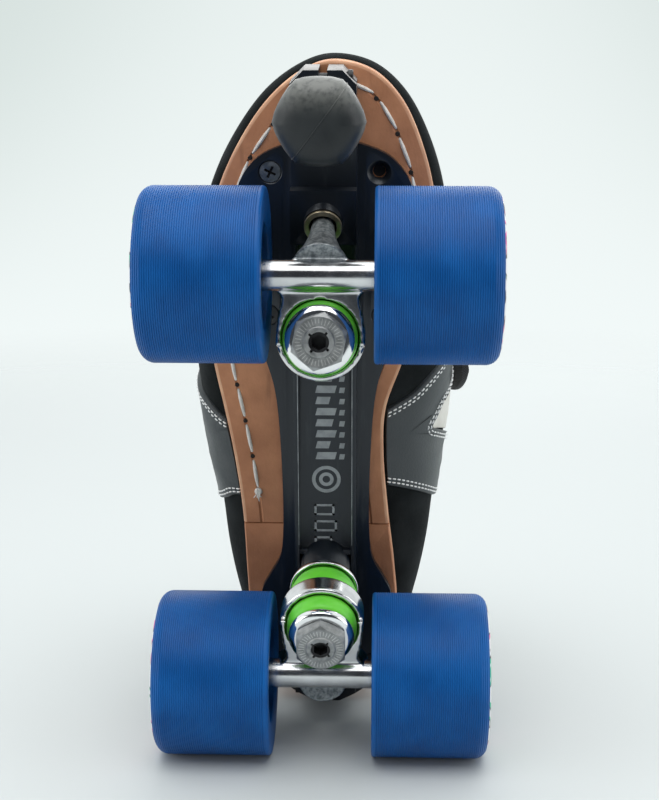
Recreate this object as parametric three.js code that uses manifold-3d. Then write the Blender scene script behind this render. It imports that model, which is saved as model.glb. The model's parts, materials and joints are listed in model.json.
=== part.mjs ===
// A quad roller skate for the right foot: a low-cut leather boot on a metal plate, with two sprung trucks,
// four grooved wheels and a screw-in toe stop. Millimetres, +X to the toe, +Y to the inner side of the foot, +Z up.
// The wheels stand on z = 0 and the origin is under the middle of the whole skate.
import * as THREE from "three";
import { mergeVertices } from "three/addons/utils/BufferGeometryUtils.js";
import Module from "manifold-3d";

const wasm = await Module();
wasm.setup();

// ---- driving dimensions -------------------------------------------------------------------------------------
const gap = 0.3; // between pieces that touch
const fit = 0.15; // radial clearance of a shaft in its hole

const wheelbase = 158;
const wheelRadius = 31;
const wheelWidth = 44;
const wheelInnerY = 19; // inner side face of each wheel, from the middle plane
const tyreBoreRadius = 19.4;
const tyreOuterLip = 5;
const tyreInnerLip = 1.4;

const bearingRadius = 11;
const bearingWidth = 7;
const innerBearingInset = 7; // from the wheel's inner side face
const outerBearingInset = 26;
const axleRadius = 4;
const axleNutAcrossFlats = 12.7;
const axleNutHeight = 6.5;
const axleProud = 1.2; // of the nut

const axleZ = wheelRadius;
const plateTopZ = axleZ + 47.7; // the boot's sole starts one gap above
const flangeThickness = 4;
const spineHalfWidth = 12.2;
const spineBottomZ = plateTopZ - 12.7;
const railThickness = 2;
const channelDepth = 2.5;
const screwRadius = 2.4;
const screwHeadRadius = 4.4;

const kingpinTilt = THREE.MathUtils.degToRad(10); // the nut end leans towards the axle
const kingpinRadius = 4.6;
const kingpinNutInset = 19.5; // the nut's face, from the axle towards the middle of the skate
const kingpinNutZ = axleZ - 17;
const kingpinNutAcrossFlats = 18;
const kingpinNutHeight = 5;
const retainerHeight = 3.5;
const cushionRadius = 13.4;
const retainerRadius = cushionRadius - 1;
const lowerCushionHeight = 9;
const upperCushionHeight = 14.5;
const yokeRadius = cushionRadius + 2.6;
const yokeHeight = 9;
const yokeCupDepth = 3;
const yokeHoleRadius = 7.4;

const axleTubeRadius = 5.6;
const pivotTip = new THREE.Vector2(14.6, axleZ + 32); // x from the axle, and z
const pivotRoot = new THREE.Vector2(2.5, axleZ + 3);
const pivotTipRadius = 4;
const pivotPlay = 1; // round the tip, so that the truck can steer
const pivotCupRadius = 6;
const pivotCupHeight = 9;
const pivotBlockReach = 10; // of the plate's block round the cup, ahead of and behind the tip
const kingpinBossRadius = 10;

const stemX = wheelbase / 2 + 54;
const stemRadius = 7.9;
const collarHalfWidth = stemRadius + 4.1;
const collarFront = stemRadius + 5.6; // ahead of the stem's axis
const collarHeight = 19.7;
const clampSlot = 3.2;
const clampBoltRadius = 1.5;
const clampHeadRadius = 2.7;
const toeStopBottomZ = 19;
const toeStopHeight = 27;
const toeStopHalfWidth = 16.2;
const toeStopHalfLength = 15;

const soleZ = plateTopZ + gap;
const soleLength = 266;
const soleWidth = 88.6;
const bootHeight = 99; // top line at the heel, over the sole's underside
const soleThickness = 5;
const heelRise = 10;
const waistPlace = 25; // where the sole starts to rise to the heel, on the drawn boot
const heelLiftPlace = -37; // front edge of the heel lift
const upperThickness = 3.2;
const floorThickness = 3;
const insoleThickness = 3;
const panelThickness = 1.3;
const strapThickness = 3;
const strapX = [2, 30];
const strapArch = 6; // height over the boot's top line, across the tongue
const tongueThickness = 5;
const tongueCurl = 0.3;
// x, and height over the sole's underside
const tongueLine = [[82, 49], [60, 61], [36, 73.5], [14, 86], [-4, 96], [-14, 108], [-18, 123]];
const tongueHalfWidths = [8, 14, 18, 18, 14, 15, 23];

const roundSides = 18;
const tyreSides = 28;

// ---- materials ----------------------------------------------------------------------------------------------
const material = (color, roughness, metalness = 0) => new THREE.MeshStandardMaterial({ color, roughness, metalness });
const blueUrethane = material(0x1f5fb8, 0.45);
const whiteCore = material(0xe8eaea, 0.4);
const bearingSteel = material(0xb9bcc0, 0.3, 1);
const zincSteel = material(0xc4c6c8, 0.3, 1);
const blackAnodised = material(0x1c2529, 0.35, 0.6);
const polishedAlloy = material(0xd8dadc, 0.15, 1);
const greenUrethane = material(0x54d62c, 0.4);
const brass = material(0xb08d5a, 0.35, 1);
const blackRubber = material(0x2c302f, 0.7);
const tanLeather = material(0xa56f52, 0.6);
const blackSuede = material(0x14171a, 0.95);
const greyLeather = material(0x6a7074, 0.5);
const blackLining = material(0x202326, 0.9);
const blackWebbing = material(0x101214, 0.85);

// ---- solids -------------------------------------------------------------------------------------------------
const object = new THREE.Group();

// A closed three.js geometry as a solid. Triangles that lost a side to merging are dropped.
function solid(geometry) {
  const bare = geometry.clone();
  bare.deleteAttribute("normal");
  bare.deleteAttribute("uv");
  const merged = mergeVertices(bare, 1e-4);
  const triangles = [];
  for (let i = 0; i < merged.index.count; i += 3) {
    const [a, b, c] = [0, 1, 2].map((k) => merged.index.getX(i + k));
    if (a !== b && b !== c && c !== a) triangles.push(a, b, c);
  }
  const build = (order) =>
    new wasm.Manifold(
      new wasm.Mesh({
        numProp: 3,
        vertProperties: merged.attributes.position.array,
        triVerts: new Uint32Array(order),
      }),
    );
  const made = build(triangles);
  return made.volume() < 0 ? build(triangles.reverse()) : made;
}

function geometryOf(made) {
  const mesh = made.getMesh();
  return new THREE.BufferGeometry()
    .setAttribute("position", new THREE.BufferAttribute(mesh.vertProperties, 3))
    .setIndex(new THREE.BufferAttribute(mesh.triVerts, 1));
}

function add(group, name, shape, look) {
  const mesh = new THREE.Mesh(shape.isBufferGeometry ? shape : geometryOf(shape), look);
  mesh.name = name;
  group.add(mesh);
  return mesh;
}

const cut = (from, ...tools) => tools.reduce((made, tool) => made.subtract(tool), from);
const join = (first, ...others) => others.reduce((made, other) => made.add(other), first);

// A turned solid around Z, from [radius, height] points that start and end on the axis or close on themselves.
function turned(profile, sides = roundSides) {
  const points = profile.map(([r, z]) => new THREE.Vector2(r, z));
  if (profile[0][0] > 0) points.push(points[0].clone());
  return solid(new THREE.LatheGeometry(points, sides).rotateX(Math.PI / 2));
}

const rod = (radius, from, to, sides = roundSides) =>
  turned([[0, from], [radius, from], [radius, to], [0, to]], sides);

const tube = (inner, outer, from, to, sides = roundSides) =>
  turned([[inner, from], [outer, from], [outer, to], [inner, to]], sides);

function box(low, high) {
  const size = high.map((h, i) => h - low[i]);
  const middle = high.map((h, i) => (h + low[i]) / 2);
  return solid(new THREE.BoxGeometry(...size).translate(...middle));
}

// An outline in X and Y, extruded along Z.
function slab(outline, from, to) {
  const shape = new THREE.Shape(outline.map(([x, y]) => new THREE.Vector2(x, y)));
  return solid(
    new THREE.ExtrudeGeometry(shape, { depth: to - from, bevelEnabled: false }).translate(0, 0, from),
  );
}

// An outline in X and Z, extruded along Y.
function sideSlab(outline, from, to) {
  const shape = new THREE.Shape(outline.map(([x, z]) => new THREE.Vector2(x, z)));
  const made = new THREE.ExtrudeGeometry(shape, { depth: to - from, bevelEnabled: false });
  return solid(made.rotateX(Math.PI / 2).translate(0, to, 0));
}

function hexagon(acrossFlats) {
  const corner = acrossFlats / 2 / Math.cos(Math.PI / 6);
  return [0, 1, 2, 3, 4, 5].map((k) => [
    corner * Math.cos((k * Math.PI) / 3),
    corner * Math.sin((k * Math.PI) / 3),
  ]);
}

// ---- wheels -------------------------------------------------------------------------------------------------
// A wheel is built around Y with its middle at the origin and its outer face towards +Y.
const alongY = (made) => made.rotate([-90, 0, 0]);
const wheelHalf = wheelWidth / 2;
const innerBearing = -wheelHalf + innerBearingInset;
const outerBearing = -wheelHalf + outerBearingInset;
const nutSeat = outerBearing + bearingWidth + gap;
const axleEnd = wheelInnerY + wheelHalf + nutSeat + axleNutHeight + axleProud;

function tyre() {
  const flatDown = wheelRadius / Math.cos(Math.PI / tyreSides); // so that a flat of the tread lies on the floor
  const lip = tyreOuterLip;
  const profile = [
    [tyreBoreRadius, -wheelHalf + 1],
    [flatDown - 6, -wheelHalf],
    [flatDown - tyreInnerLip, -wheelHalf],
    [flatDown, -wheelHalf + tyreInnerLip],
    [flatDown, wheelHalf - lip],
    [flatDown - lip * 0.3, wheelHalf - lip * 0.3],
    [flatDown - lip, wheelHalf],
    [tyreBoreRadius, wheelHalf - 2],
  ];
  return alongY(turned(profile, tyreSides).rotate([0, 0, 180 / tyreSides]));
}

function hub() {
  const outer = tyreBoreRadius - fit;
  const seat = bearingRadius + fit;
  const boss = seat + (outer - seat) * 0.37;
  const webFrom = -7;
  const webTo = 3;
  const rim = wheelHalf - 3;
  const profile = [
    [seat, innerBearing - 0.5],
    [boss, webFrom],
    [outer - 2, webFrom],
    [outer, -rim],
    [outer, rim],
    [outer - 2, webTo],
    [boss, webTo],
    [seat, outerBearing + bearingWidth + 0.5],
    [seat, outerBearing - gap],
    [seat - 2.4, outerBearing - gap],
    [seat - 2.4, innerBearing + bearingWidth + gap],
    [seat, innerBearing + bearingWidth + gap],
  ];
  return alongY(turned(profile, 16));
}

const bearing = (from) => alongY(tube(axleRadius + fit, bearingRadius, from, from + bearingWidth, 16));

function axleNut() {
  const body = slab(hexagon(axleNutAcrossFlats), nutSeat, nutSeat + axleNutHeight);
  return alongY(cut(body, rod(axleRadius + fit, nutSeat - 1, nutSeat + axleNutHeight + 1, 16)));
}

function wheel(end, side, x, sign) {
  const group = new THREE.Group();
  const name = `wheel_${end}_${side}`;
  group.position.set(x, sign * (wheelInnerY + wheelHalf), axleZ);
  group.rotation.z = sign > 0 ? 0 : Math.PI;
  add(group, `${name}_tyre`, tyre(), blueUrethane);
  add(group, `${name}_hub`, hub(), whiteCore);
  add(group, `${name}_bearing_inner`, bearing(innerBearing), bearingSteel);
  add(group, `${name}_bearing_outer`, bearing(outerBearing), bearingSteel);
  add(group, `${name}_nut`, axleNut(), zincSteel);
  object.add(group);
}

// ---- trucks -------------------------------------------------------------------------------------------------
// A truck is built with its axle over the origin, its pivot towards +X and its kingpin towards -X.
// Heights on the kingpin are counted from the nut's face, up towards the plate.
const onKingpin = (made) =>
  made.rotate([0, -THREE.MathUtils.radToDeg(kingpinTilt), 0]).translate([-kingpinNutInset, 0, kingpinNutZ]);
const lowerRetainerAt = kingpinNutHeight + gap;
const lowerCushionAt = lowerRetainerAt + retainerHeight + gap;
const lowerCupAt = lowerCushionAt + lowerCushionHeight + gap;
const yokeAt = lowerCupAt - yokeCupDepth;
const upperCushionAt = yokeAt + yokeHeight - yokeCupDepth + gap;
const upperRetainerAt = upperCushionAt + upperCushionHeight + gap;
const kingpinBossAt = upperRetainerAt + retainerHeight + gap;
const kingpinEnd = (plateTopZ - kingpinNutZ) / Math.cos(kingpinTilt) - 3;

const pivotVector = pivotTip.clone().sub(pivotRoot);
const pivotAngle = Math.atan2(pivotVector.x, pivotVector.y);
const onPivot = (made) =>
  made.rotate([0, THREE.MathUtils.radToDeg(pivotAngle), 0]).translate([pivotRoot.x, 0, pivotRoot.y]);
const pivotLength = pivotVector.length();
const pivotCupAt = pivotLength - pivotCupHeight / 2;
const pivotBossEnd = pivotLength + (plateTopZ - pivotTip.y) / Math.cos(pivotAngle) - 4;

// The yoke's web, in its own plane: it leaves the ring, narrows, and flares into the axle tube.
function yokeWeb() {
  const half = [
    [-3, yokeRadius],
    [yokeRadius * 0.5, yokeRadius * 0.94],
    [yokeRadius * 0.9, yokeRadius * 0.88],
    [yokeRadius * 1.15, yokeRadius * 1.08],
    [yokeRadius * 1.38, yokeRadius * 1.12],
  ];
  const mirrored = half.map(([x, y]) => [x, -y]).reverse();
  return slab([...half.map(([x, y]) => [x, y]), ...mirrored], yokeAt - 3, yokeAt + yokeHeight - 3);
}

function hanger() {
  const half = wheelInnerY + innerBearingInset - gap;
  const axleTube = rod(axleTubeRadius, -half, half).rotate([90, 0, 0]).translate([0, 0, axleZ]);
  const ring = rod(yokeRadius, yokeAt, yokeAt + yokeHeight, 32);
  const arm = turned([
    [0, -1],
    [8.8, -1],
    [7.2, 4],
    [5.8, 11],
    [4.7, 19],
    [pivotTipRadius, pivotLength - 6],
    [pivotTipRadius, pivotLength],
    [pivotTipRadius * 0.6, pivotLength + 2.2],
    [0, pivotLength + 2.8],
  ]);
  const cupRadius = cushionRadius + 0.4;
  return cut(
    join(axleTube, onKingpin(join(ring, yokeWeb())), onPivot(arm)),
    onKingpin(rod(cupRadius, yokeAt - 20, yokeAt + yokeCupDepth)),
    onKingpin(rod(cupRadius, yokeAt + yokeHeight - yokeCupDepth, yokeAt + yokeHeight + 20)),
    onKingpin(rod(yokeHoleRadius, yokeAt - 1, yokeAt + yokeHeight + 1)),
    rod(axleRadius + fit, -half - 1, half + 1).rotate([90, 0, 0]).translate([0, 0, axleZ]),
  );
}

const axle = () => rod(axleRadius, -axleEnd, axleEnd).rotate([90, 0, 0]).translate([0, 0, axleZ]);

const cushion = (from, height) =>
  turned([
    [kingpinRadius + fit, from],
    [cushionRadius - 1, from],
    [cushionRadius, from + height * 0.35],
    [cushionRadius, from + height * 0.65],
    [cushionRadius - 1, from + height],
    [kingpinRadius + fit, from + height],
  ]);

// A washer round the kingpin, with a chamfered lower edge.
const retainer = (radius, from) =>
  turned([
    [kingpinRadius + fit, from],
    [radius - 1.5, from],
    [radius, from + 1.2],
    [radius, from + retainerHeight],
    [kingpinRadius + fit, from + retainerHeight],
  ]);

function kingpinNut() {
  const body = slab(hexagon(kingpinNutAcrossFlats), 0, kingpinNutHeight);
  return cut(body, rod(kingpinRadius + fit, -1, kingpinNutHeight + 1));
}

function kingpin() {
  const socket = slab(hexagon(5), -1, 4);
  return cut(rod(kingpinRadius, 0.6, kingpinEnd), socket);
}

function truck(end, x, turn) {
  const group = new THREE.Group();
  const name = `truck_${end}`;
  group.position.x = x;
  group.rotation.z = turn;
  add(group, `${name}_hanger`, hanger(), polishedAlloy);
  add(group, `${name}_axle`, axle(), zincSteel);
  add(group, `${name}_kingpin`, onKingpin(kingpin()), zincSteel);
  add(group, `${name}_kingpin_nut`, onKingpin(kingpinNut()), polishedAlloy);
  add(group, `${name}_retainer_lower`, onKingpin(retainer(retainerRadius, lowerRetainerAt)), polishedAlloy);
  add(group, `${name}_cushion_lower`, onKingpin(cushion(lowerCushionAt, lowerCushionHeight)), greenUrethane);
  add(group, `${name}_cushion_upper`, onKingpin(cushion(upperCushionAt, upperCushionHeight)), greenUrethane);
  add(group, `${name}_retainer_upper`, onKingpin(retainer(cushionRadius, upperRetainerAt)), polishedAlloy);
  add(group, `${name}_pivot_cup`, onPivot(pivotCup()), brass);
  object.add(group);
}

function pivotCup() {
  const from = pivotCupAt - pivotCupHeight / 2 + 1;
  return tube(pivotTipRadius + pivotPlay, pivotCupRadius, from, pivotCupAt + pivotCupHeight / 2);
}

// ---- plate --------------------------------------------------------------------------------------------------
// Half of the flange's outline, from the rear end to the front, as [x from the nearer axle, half width].
const rearFlange = [
  [-38, 5],
  [-33.5, 13],
  [-24, 23],
  [-11, 27],
  [13, 26.5],
  [20.5, 23],
  [28, 19],
  [37, 17.6],
];
const frontFlange = [
  [-84, 17.8],
  [-57, 20],
  [-43, 24],
  [-23, 31],
  [6, 34],
  [24, 32.3],
  [33.8, 25],
  [38.5, 15],
  [40.5, 5],
];
const flangeHalf = [
  ...rearFlange.map(([x, y]) => [x - wheelbase / 2, y]),
  ...frontFlange.map(([x, y]) => [x + wheelbase / 2, y]),
];

function flange() {
  const upper = flangeHalf.map(([x, y]) => [x, y]);
  const lower = flangeHalf.map(([x, y]) => [x, -y]).reverse();
  return slab([...lower, ...upper].reverse(), plateTopZ - flangeThickness, plateTopZ);
}

const clampX = stemX + collarFront - 3.2;
const clampZ = plateTopZ - collarHeight + 7;
const clampReach = collarHalfWidth - 3.6;

// The clamp for the toe stop: an octagonal collar with a slot at the front.
function collar() {
  const h = collarHalfWidth;
  const chamfer = 5;
  const front = stemX + collarFront;
  const outline = [
    [stemX - collarFront, -h],
    [front - chamfer, -h],
    [front, -h + chamfer],
    [front, h - chamfer],
    [front - chamfer, h],
    [stemX - collarFront, h],
  ];
  return slab(outline, plateTopZ - collarHeight, plateTopZ);
}

const atTruck = (end, made) => (end > 0 ? made : made.rotate([0, 0, 180])).translate([(end * wheelbase) / 2, 0, 0]);

function plate() {
  const floorZ = spineBottomZ + channelDepth;
  const inside = spineHalfWidth - railThickness;
  const half = wheelbase / 2;
  const spine = box([-half - 29, -spineHalfWidth, spineBottomZ], [half + 43, spineHalfWidth, plateTopZ - 1]);
  const pocketZ = floorZ + 3;
  const pocket = (from, to, depthZ) => box([from, -inside, spineBottomZ - 1], [to, inside, depthZ]);
  const channel = pocket(36 - half, half - 19, floorZ);
  const frontPocket = pocket(half - 17, half + 24, pocketZ);
  const rearPocket = pocket(-half - 24, 34 - half, pocketZ);
  let made = cut(join(flange(), spine), channel, frontPocket, rearPocket);
  for (const end of [1, -1]) {
    const kingpinBoss = onKingpin(tube(kingpinRadius + fit, kingpinBossRadius, kingpinBossAt, kingpinEnd - 2));
    const pivotBoss = join(
      onPivot(rod(pivotCupRadius + 1.2, pivotLength - 6.5, pivotBossEnd)),
      box(
        [pivotTip.x - pivotBlockReach, -spineHalfWidth, pivotTip.y - 5],
        [pivotTip.x + pivotBlockReach, spineHalfWidth, plateTopZ - 1],
      ),
    );
    const trim = box([-300, -80, plateTopZ - 0.5], [300, 80, plateTopZ + 60]);
    made = join(made, atTruck(end, kingpinBoss).subtract(trim), atTruck(end, pivotBoss).subtract(trim));
    made = cut(
      made,
      atTruck(end, onKingpin(rod(kingpinRadius + fit, kingpinBossAt - 1, kingpinEnd + gap))),
      atTruck(end, onPivot(rod(pivotCupRadius + fit, pivotLength - 12, pivotLength + 3.4))),
    );
  }
  made = join(made, collar());
  const holes = [...screwSeats.map(([, x, y]) => [x, y]), emptyHole];
  for (const [x, y] of holes) {
    const hole = rod(screwRadius + fit, plateTopZ - 10, plateTopZ + 1, 16);
    const sink = turned(
      [
        [0, plateTopZ - flangeThickness - 0.01],
        [screwHeadRadius + fit, plateTopZ - flangeThickness - 0.01],
        [screwRadius + fit, plateTopZ - flangeThickness + 2],
        [0, plateTopZ - flangeThickness + 2],
      ],
      16,
    );
    made = cut(made, hole.translate([x, y, 0]), sink.translate([x, y, 0]));
  }
  return cut(
    made,
    alongY(rod(clampHeadRadius + fit, clampReach, clampReach + 20, 12)).translate([clampX, 0, clampZ]),
    rod(stemRadius + fit, plateTopZ - collarHeight - 1, plateTopZ + 1).translate([stemX, 0, 0]),
    box([stemX, -clampSlot / 2, plateTopZ - collarHeight - 1], [stemX + 20, clampSlot / 2, plateTopZ + 1]),
    alongY(rod(clampBoltRadius + fit, -20, 20, 12)).translate([clampX, 0, clampZ]),
  );
}

function clampBolt() {
  const shank = rod(clampBoltRadius, -clampReach, clampReach + gap, 12);
  const head = rod(clampHeadRadius, clampReach + gap, clampReach + 2.4, 12);
  return alongY(join(shank, head)).translate([clampX, 0, clampZ]);
}

function screw(x, y) {
  const headZ = plateTopZ - flangeThickness;
  const profile = [
    [0, headZ + 0.1],
    [screwHeadRadius - 0.3, headZ + 0.1],
    [screwRadius, headZ + 1.8],
    [screwRadius, soleZ - gap],
    [0, soleZ - gap],
  ];
  const slot = (turn) => box([-2.2, -0.5, headZ - 1], [2.2, 0.5, headZ + 1.2]).rotate([0, 0, turn]);
  return cut(turned(profile, 16), slot(0), slot(90)).translate([x, y, 0]);
}

// ---- toe stop -----------------------------------------------------------------------------------------------
// A rounded hexagon, 24 points round, that swells to its widest near the floor and has a domed face.
function toeStop() {
  const around = 24;
  const rings = [
    [0.62, 0, 1],
    [0.92, 0.12, 1],
    [1, 0.3, 1],
    [0.97, 0.5, 1],
    [0.8, 0.85, 1],
    [0.7, 1, 1],
  ];
  const positions = [];
  const corner = (k) => {
    const a = (k / around) * Math.PI * 2;
    const folded = ((a % (Math.PI / 3)) + Math.PI / 3) % (Math.PI / 3);
    const hex = Math.cos(Math.PI / 6) / Math.cos(folded - Math.PI / 6);
    const r = THREE.MathUtils.lerp(hex, 1, 0.35);
    return [-Math.sin(a) * r, Math.cos(a) * r];
  };
  const point = ([scale, height], k) => {
    const [x, y] = corner(k);
    return [
      x * scale * toeStopHalfLength * 1.08,
      y * scale * toeStopHalfWidth,
      toeStopBottomZ + height * toeStopHeight,
    ];
  };
  const quad = (a, b, c, d) => positions.push(...a, ...b, ...c, ...a, ...c, ...d);
  for (let k = 0; k < around; k++) {
    for (let j = 0; j < rings.length - 1; j++)
      quad(point(rings[j], k), point(rings[j], k + 1), point(rings[j + 1], k + 1), point(rings[j + 1], k));
    positions.push(...[0, 0, toeStopBottomZ - 1.5], ...point(rings[0], k + 1), ...point(rings[0], k));
    const top = rings[rings.length - 1];
    positions.push(...[0, 0, toeStopBottomZ + toeStopHeight], ...point(top, k), ...point(top, k + 1));
  }
  const geometry = new THREE.BufferGeometry().setAttribute(
    "position",
    new THREE.Float32BufferAttribute(positions, 3),
  );
  const plug = rod(stemRadius - 2 + gap, toeStopBottomZ + 8, toeStopBottomZ + toeStopHeight + 1);
  return cut(solid(geometry), plug).translate([stemX, 0, 0]);
}

const toeStopTopZ = toeStopBottomZ + toeStopHeight;
const toeStopStem = () =>
  turned([
    [0, toeStopBottomZ + 8 + gap],
    [stemRadius - 2, toeStopBottomZ + 8 + gap],
    [stemRadius - 2, toeStopTopZ + gap],
    [stemRadius + 2.6, toeStopTopZ + gap],
    [stemRadius + 2.6, toeStopTopZ + 2.6],
    [stemRadius, toeStopTopZ + 2.6],
    [stemRadius, plateTopZ - 9],
    [0, plateTopZ - 9],
  ]).translate([stemX, 0, 0]);

// ---- boot ---------------------------------------------------------------------------------------------------
// Stations from the heel to the toe. base is the sole's edge on the outer and the inner side, top is the
// boot's top line at its outer side, and low and high are [out, up] of the wall's two inner control points, from
// the base and from the top. arch replaces low on the inner side, where the wall leans out over the arch.
const stations = [
  { x: -118, outer: -1.5, inner: -1.5, top: [-113, 0, 99], low: [7, 18], high: [6, -30] },
  { x: -112, outer: -17, inner: 14, top: [-108, 17, 96], low: [9, 14], high: [6, -28] },
  { x: -98, outer: -27.5, inner: 24.5, top: [-93, 28, 90], low: [12, 12], high: [6, -26] },
  { x: -80, outer: -31.5, inner: 29, top: [-72, 32.5, 84], low: [14, 10], high: [6, -24] },
  { x: -60, outer: -32.8, inner: 28, top: [-50, 32, 82], low: [19, 10], arch: [24, 16], high: [8, -26] },
  { x: -33, outer: -34, inner: 25, top: [-27, 27, 88], low: [22, 12], arch: [34, 20], high: [16, -30] },
  { x: -8, outer: -37, inner: 23, top: [-8, 17, 100], low: [24, 14], arch: [42, 26], high: [34, -34] },
  { x: 12, outer: -40.5, inner: 23.6, top: [12, 14, 90], low: [23, 14], arch: [44, 26], high: [37, -30] },
  { x: 31, outer: -44.2, inner: 29.8, top: [32, 13, 79], low: [20, 13], arch: [34, 20], high: [38, -24] },
  { x: 51, outer: -46.6, inner: 36.5, top: [52, 11.5, 68], low: [15, 10], arch: [22, 12], high: [38, -16] },
  { x: 72, outer: -46.6, inner: 41, top: [69, 7.5, 58.5], low: [13, 8], high: [38, -10] },
  { x: 93, outer: -43, inner: 42, top: [78, 0, 53.5], low: [13, 7], high: [40, -4] },
  { x: 115, outer: -34, inner: 37.2, top: [93, 0, 47], low: [12, 8], high: [34, -1] },
  { x: 134, outer: -21, inner: 28.5, top: [106, 0, 42], low: [10, 8], high: [27, 0] },
  { x: 144.5, outer: -8, inner: 17.5, top: [115, 0, 39], low: [8, 8], high: [22, 0] },
  { x: 148, outer: 3, inner: 3, top: [120, 0, 37], low: [6, 8], high: [21, 0.5] },
];
const drawnLength = stations[stations.length - 1].x - stations[0].x;
const drawnWidth = Math.max(...stations.map((s) => s.inner)) - Math.min(...stations.map((s) => s.outer));
const lengthwise = soleLength / drawnLength;
const widthwise = soleWidth / drawnWidth;
const upward = bootHeight / stations[0].top[2];
const placeX = (x) => x * lengthwise;
const placeZ = (height) => soleZ + height * upward;
const heelX = placeX(stations[0].x);
const toeX = placeX(stations[stations.length - 1].x);
const waistX = placeX(waistPlace);
const heelLiftX = placeX(heelLiftPlace);

// The front screws keep their place by the axle, and the rear ones by the heel.
const screwSeats = [
  ["front_outer", wheelbase / 2 + 28.4, -20.4],
  ["middle_outer", wheelbase / 2 - 27, -22],
  ["middle_inner", wheelbase / 2 - 27, 22],
  ["rear_outer", heelX + 20, -20],
  ["rear_inner", heelX + 20, 20],
];
const emptyHole = [wheelbase / 2 + 28.4, 20.4];

const ridgeStation = 11; // from here to the toe the two sides meet over the foot
const halfThroat = 0.6; // least half width of the throat, where it narrows to nothing
const toeShift = 2.2; // the ridge leans to the big toe

const rise = (x) => heelRise * THREE.MathUtils.smoothstep(waistX - x, 0, waistX - heelX);
const soleTop = (x) => soleZ + soleThickness + rise(x);

// Four closed loops round the boot: the wall is a cubic Bezier curve from the first to the last at each place.
function controlLoops() {
  const last = stations.length - 1;
  const order = [...stations.keys(), ...[...stations.keys()].slice(1, last).reverse()];
  const loops = [[], [], [], []];
  order.forEach((index, place) => {
    const inner = place > last;
    const s = stations[index];
    const side = inner ? 1 : -1;
    const x = placeX(s.x);
    const low = inner && s.arch ? s.arch : s.low;
    const base = new THREE.Vector3(x, (inner ? s.inner : s.outer) * widthwise, soleTop(x) + gap);
    const lean = index >= ridgeStation ? toeShift * ((index - ridgeStation + 1) / (last - ridgeStation + 1)) : 0;
    const top = new THREE.Vector3(placeX(s.top[0]), (side * s.top[1] + lean) * widthwise, placeZ(s.top[2]));
    const centreX = THREE.MathUtils.clamp(x, placeX(-85), placeX(108));
    const centre = new THREE.Vector3(centreX, index === last ? s.inner * widthwise : 0, base.z);
    const out = index === 0 ? new THREE.Vector3(-1, 0, 0) : base.clone().sub(centre).setZ(0).normalize();
    const spread = new THREE.Vector3(index > ridgeStation ? out.x : 0, out.y, 0).normalize();
    const outHigh = index >= ridgeStation ? spread : out;
    loops[0].push(base);
    loops[1].push(base.clone().addScaledVector(out, low[0] * widthwise).setZ(base.z + low[1] * upward));
    loops[2].push(top.clone().addScaledVector(outHigh, s.high[0] * widthwise).setZ(top.z + s.high[1] * upward));
    loops[3].push(top);
  });
  return loops.map((points) => new THREE.CatmullRomCurve3(points, true, "centripetal"));
}
const loops = controlLoops();
const loopCount = loops[0].points.length;

function wallPoint(u, t) {
  const share = ((u % 1) + 1) % 1;
  const [a, b, c, d] = loops.map((loop) => loop.getPoint(share));
  const k = 1 - t;
  return a
    .multiplyScalar(k * k * k)
    .addScaledVector(b, 3 * k * k * t)
    .addScaledVector(c, 3 * k * t * t)
    .addScaledVector(d, t * t * t);
}

function wallNormal(u, t) {
  const du = 0.004;
  const dt = 0.02;
  const t0 = Math.max(0, t - dt);
  const t1 = Math.min(1, t + dt);
  const along = wallPoint(u + du, t).sub(wallPoint(u - du, t));
  const up = wallPoint(u, t1).sub(wallPoint(u, t0));
  return along.cross(up).normalize();
}

// The boot's body as a closed solid, swollen by `offset`. floorLift raises its floor, and rimLift carries the
// top line up past the opening, for a solid that hollows out the boot.
function bootBody(offset, floorLift = 0, rimLift = 0) {
  const around = 52;
  const rows = 8;
  const ridgeFrom = ridgeStation / loopCount;
  const least = halfThroat + Math.min(0, offset + upperThickness);
  const grid = [];
  for (let i = 0; i < around; i++) {
    const u = i / around;
    const mirrored = 1 - u;
    const share = Math.min(u, mirrored);
    const closed = share > ridgeFrom - 1e-6;
    const column = [];
    for (let j = 0; j <= rows; j++) {
      const t = j / rows;
      const normal = wallNormal(u, t);
      const point = wallPoint(u, t);
      if (j === 0) normal.setZ(0).normalize();
      if (j === rows && closed) {
        normal.add(wallNormal(mirrored, t)).setY(0).normalize();
        point.add(wallPoint(mirrored, t)).multiplyScalar(0.5);
      }
      point.addScaledVector(normal, offset);
      if (!closed) point.y = u < 0.5 ? Math.min(point.y, -least) : Math.max(point.y, least);
      if (j === 0) point.z = soleTop(point.x) + gap + floorLift;
      if (j > 0) point.z = Math.max(point.z, soleTop(point.x) + gap + floorLift + 0.4 * j);
      column.push(point);
    }
    const lift = closed ? 0 : rimLift;
    column.push(column[rows].clone().add(new THREE.Vector3(lift * 0.25, 0, lift)));
    grid.push(column);
  }
  const positions = [];
  const triangle = (...corners) => corners.forEach((p) => positions.push(p.x, p.y, p.z));
  const quad = (a, b, c, d) => {
    triangle(a, b, c);
    triangle(a, c, d);
  };
  for (let i = 0; i < around; i++) {
    const next = (i + 1) % around;
    for (let j = 0; j < grid[i].length - 1; j++)
      quad(grid[i][j], grid[next][j], grid[next][j + 1], grid[i][j + 1]);
  }
  const top = rows + 1;
  for (let i = 0; i < around / 2; i++) {
    const [a, b] = [i, i + 1];
    const [c, d] = [(around - i - 1) % around, (around - i) % around];
    quad(grid[d][0], grid[c][0], grid[b][0], grid[a][0]);
    quad(grid[a][top], grid[b][top], grid[c][top], grid[d][top]);
  }
  const geometry = new THREE.BufferGeometry().setAttribute(
    "position",
    new THREE.Float32BufferAttribute(positions, 3),
  );
  return solid(geometry);
}

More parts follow.
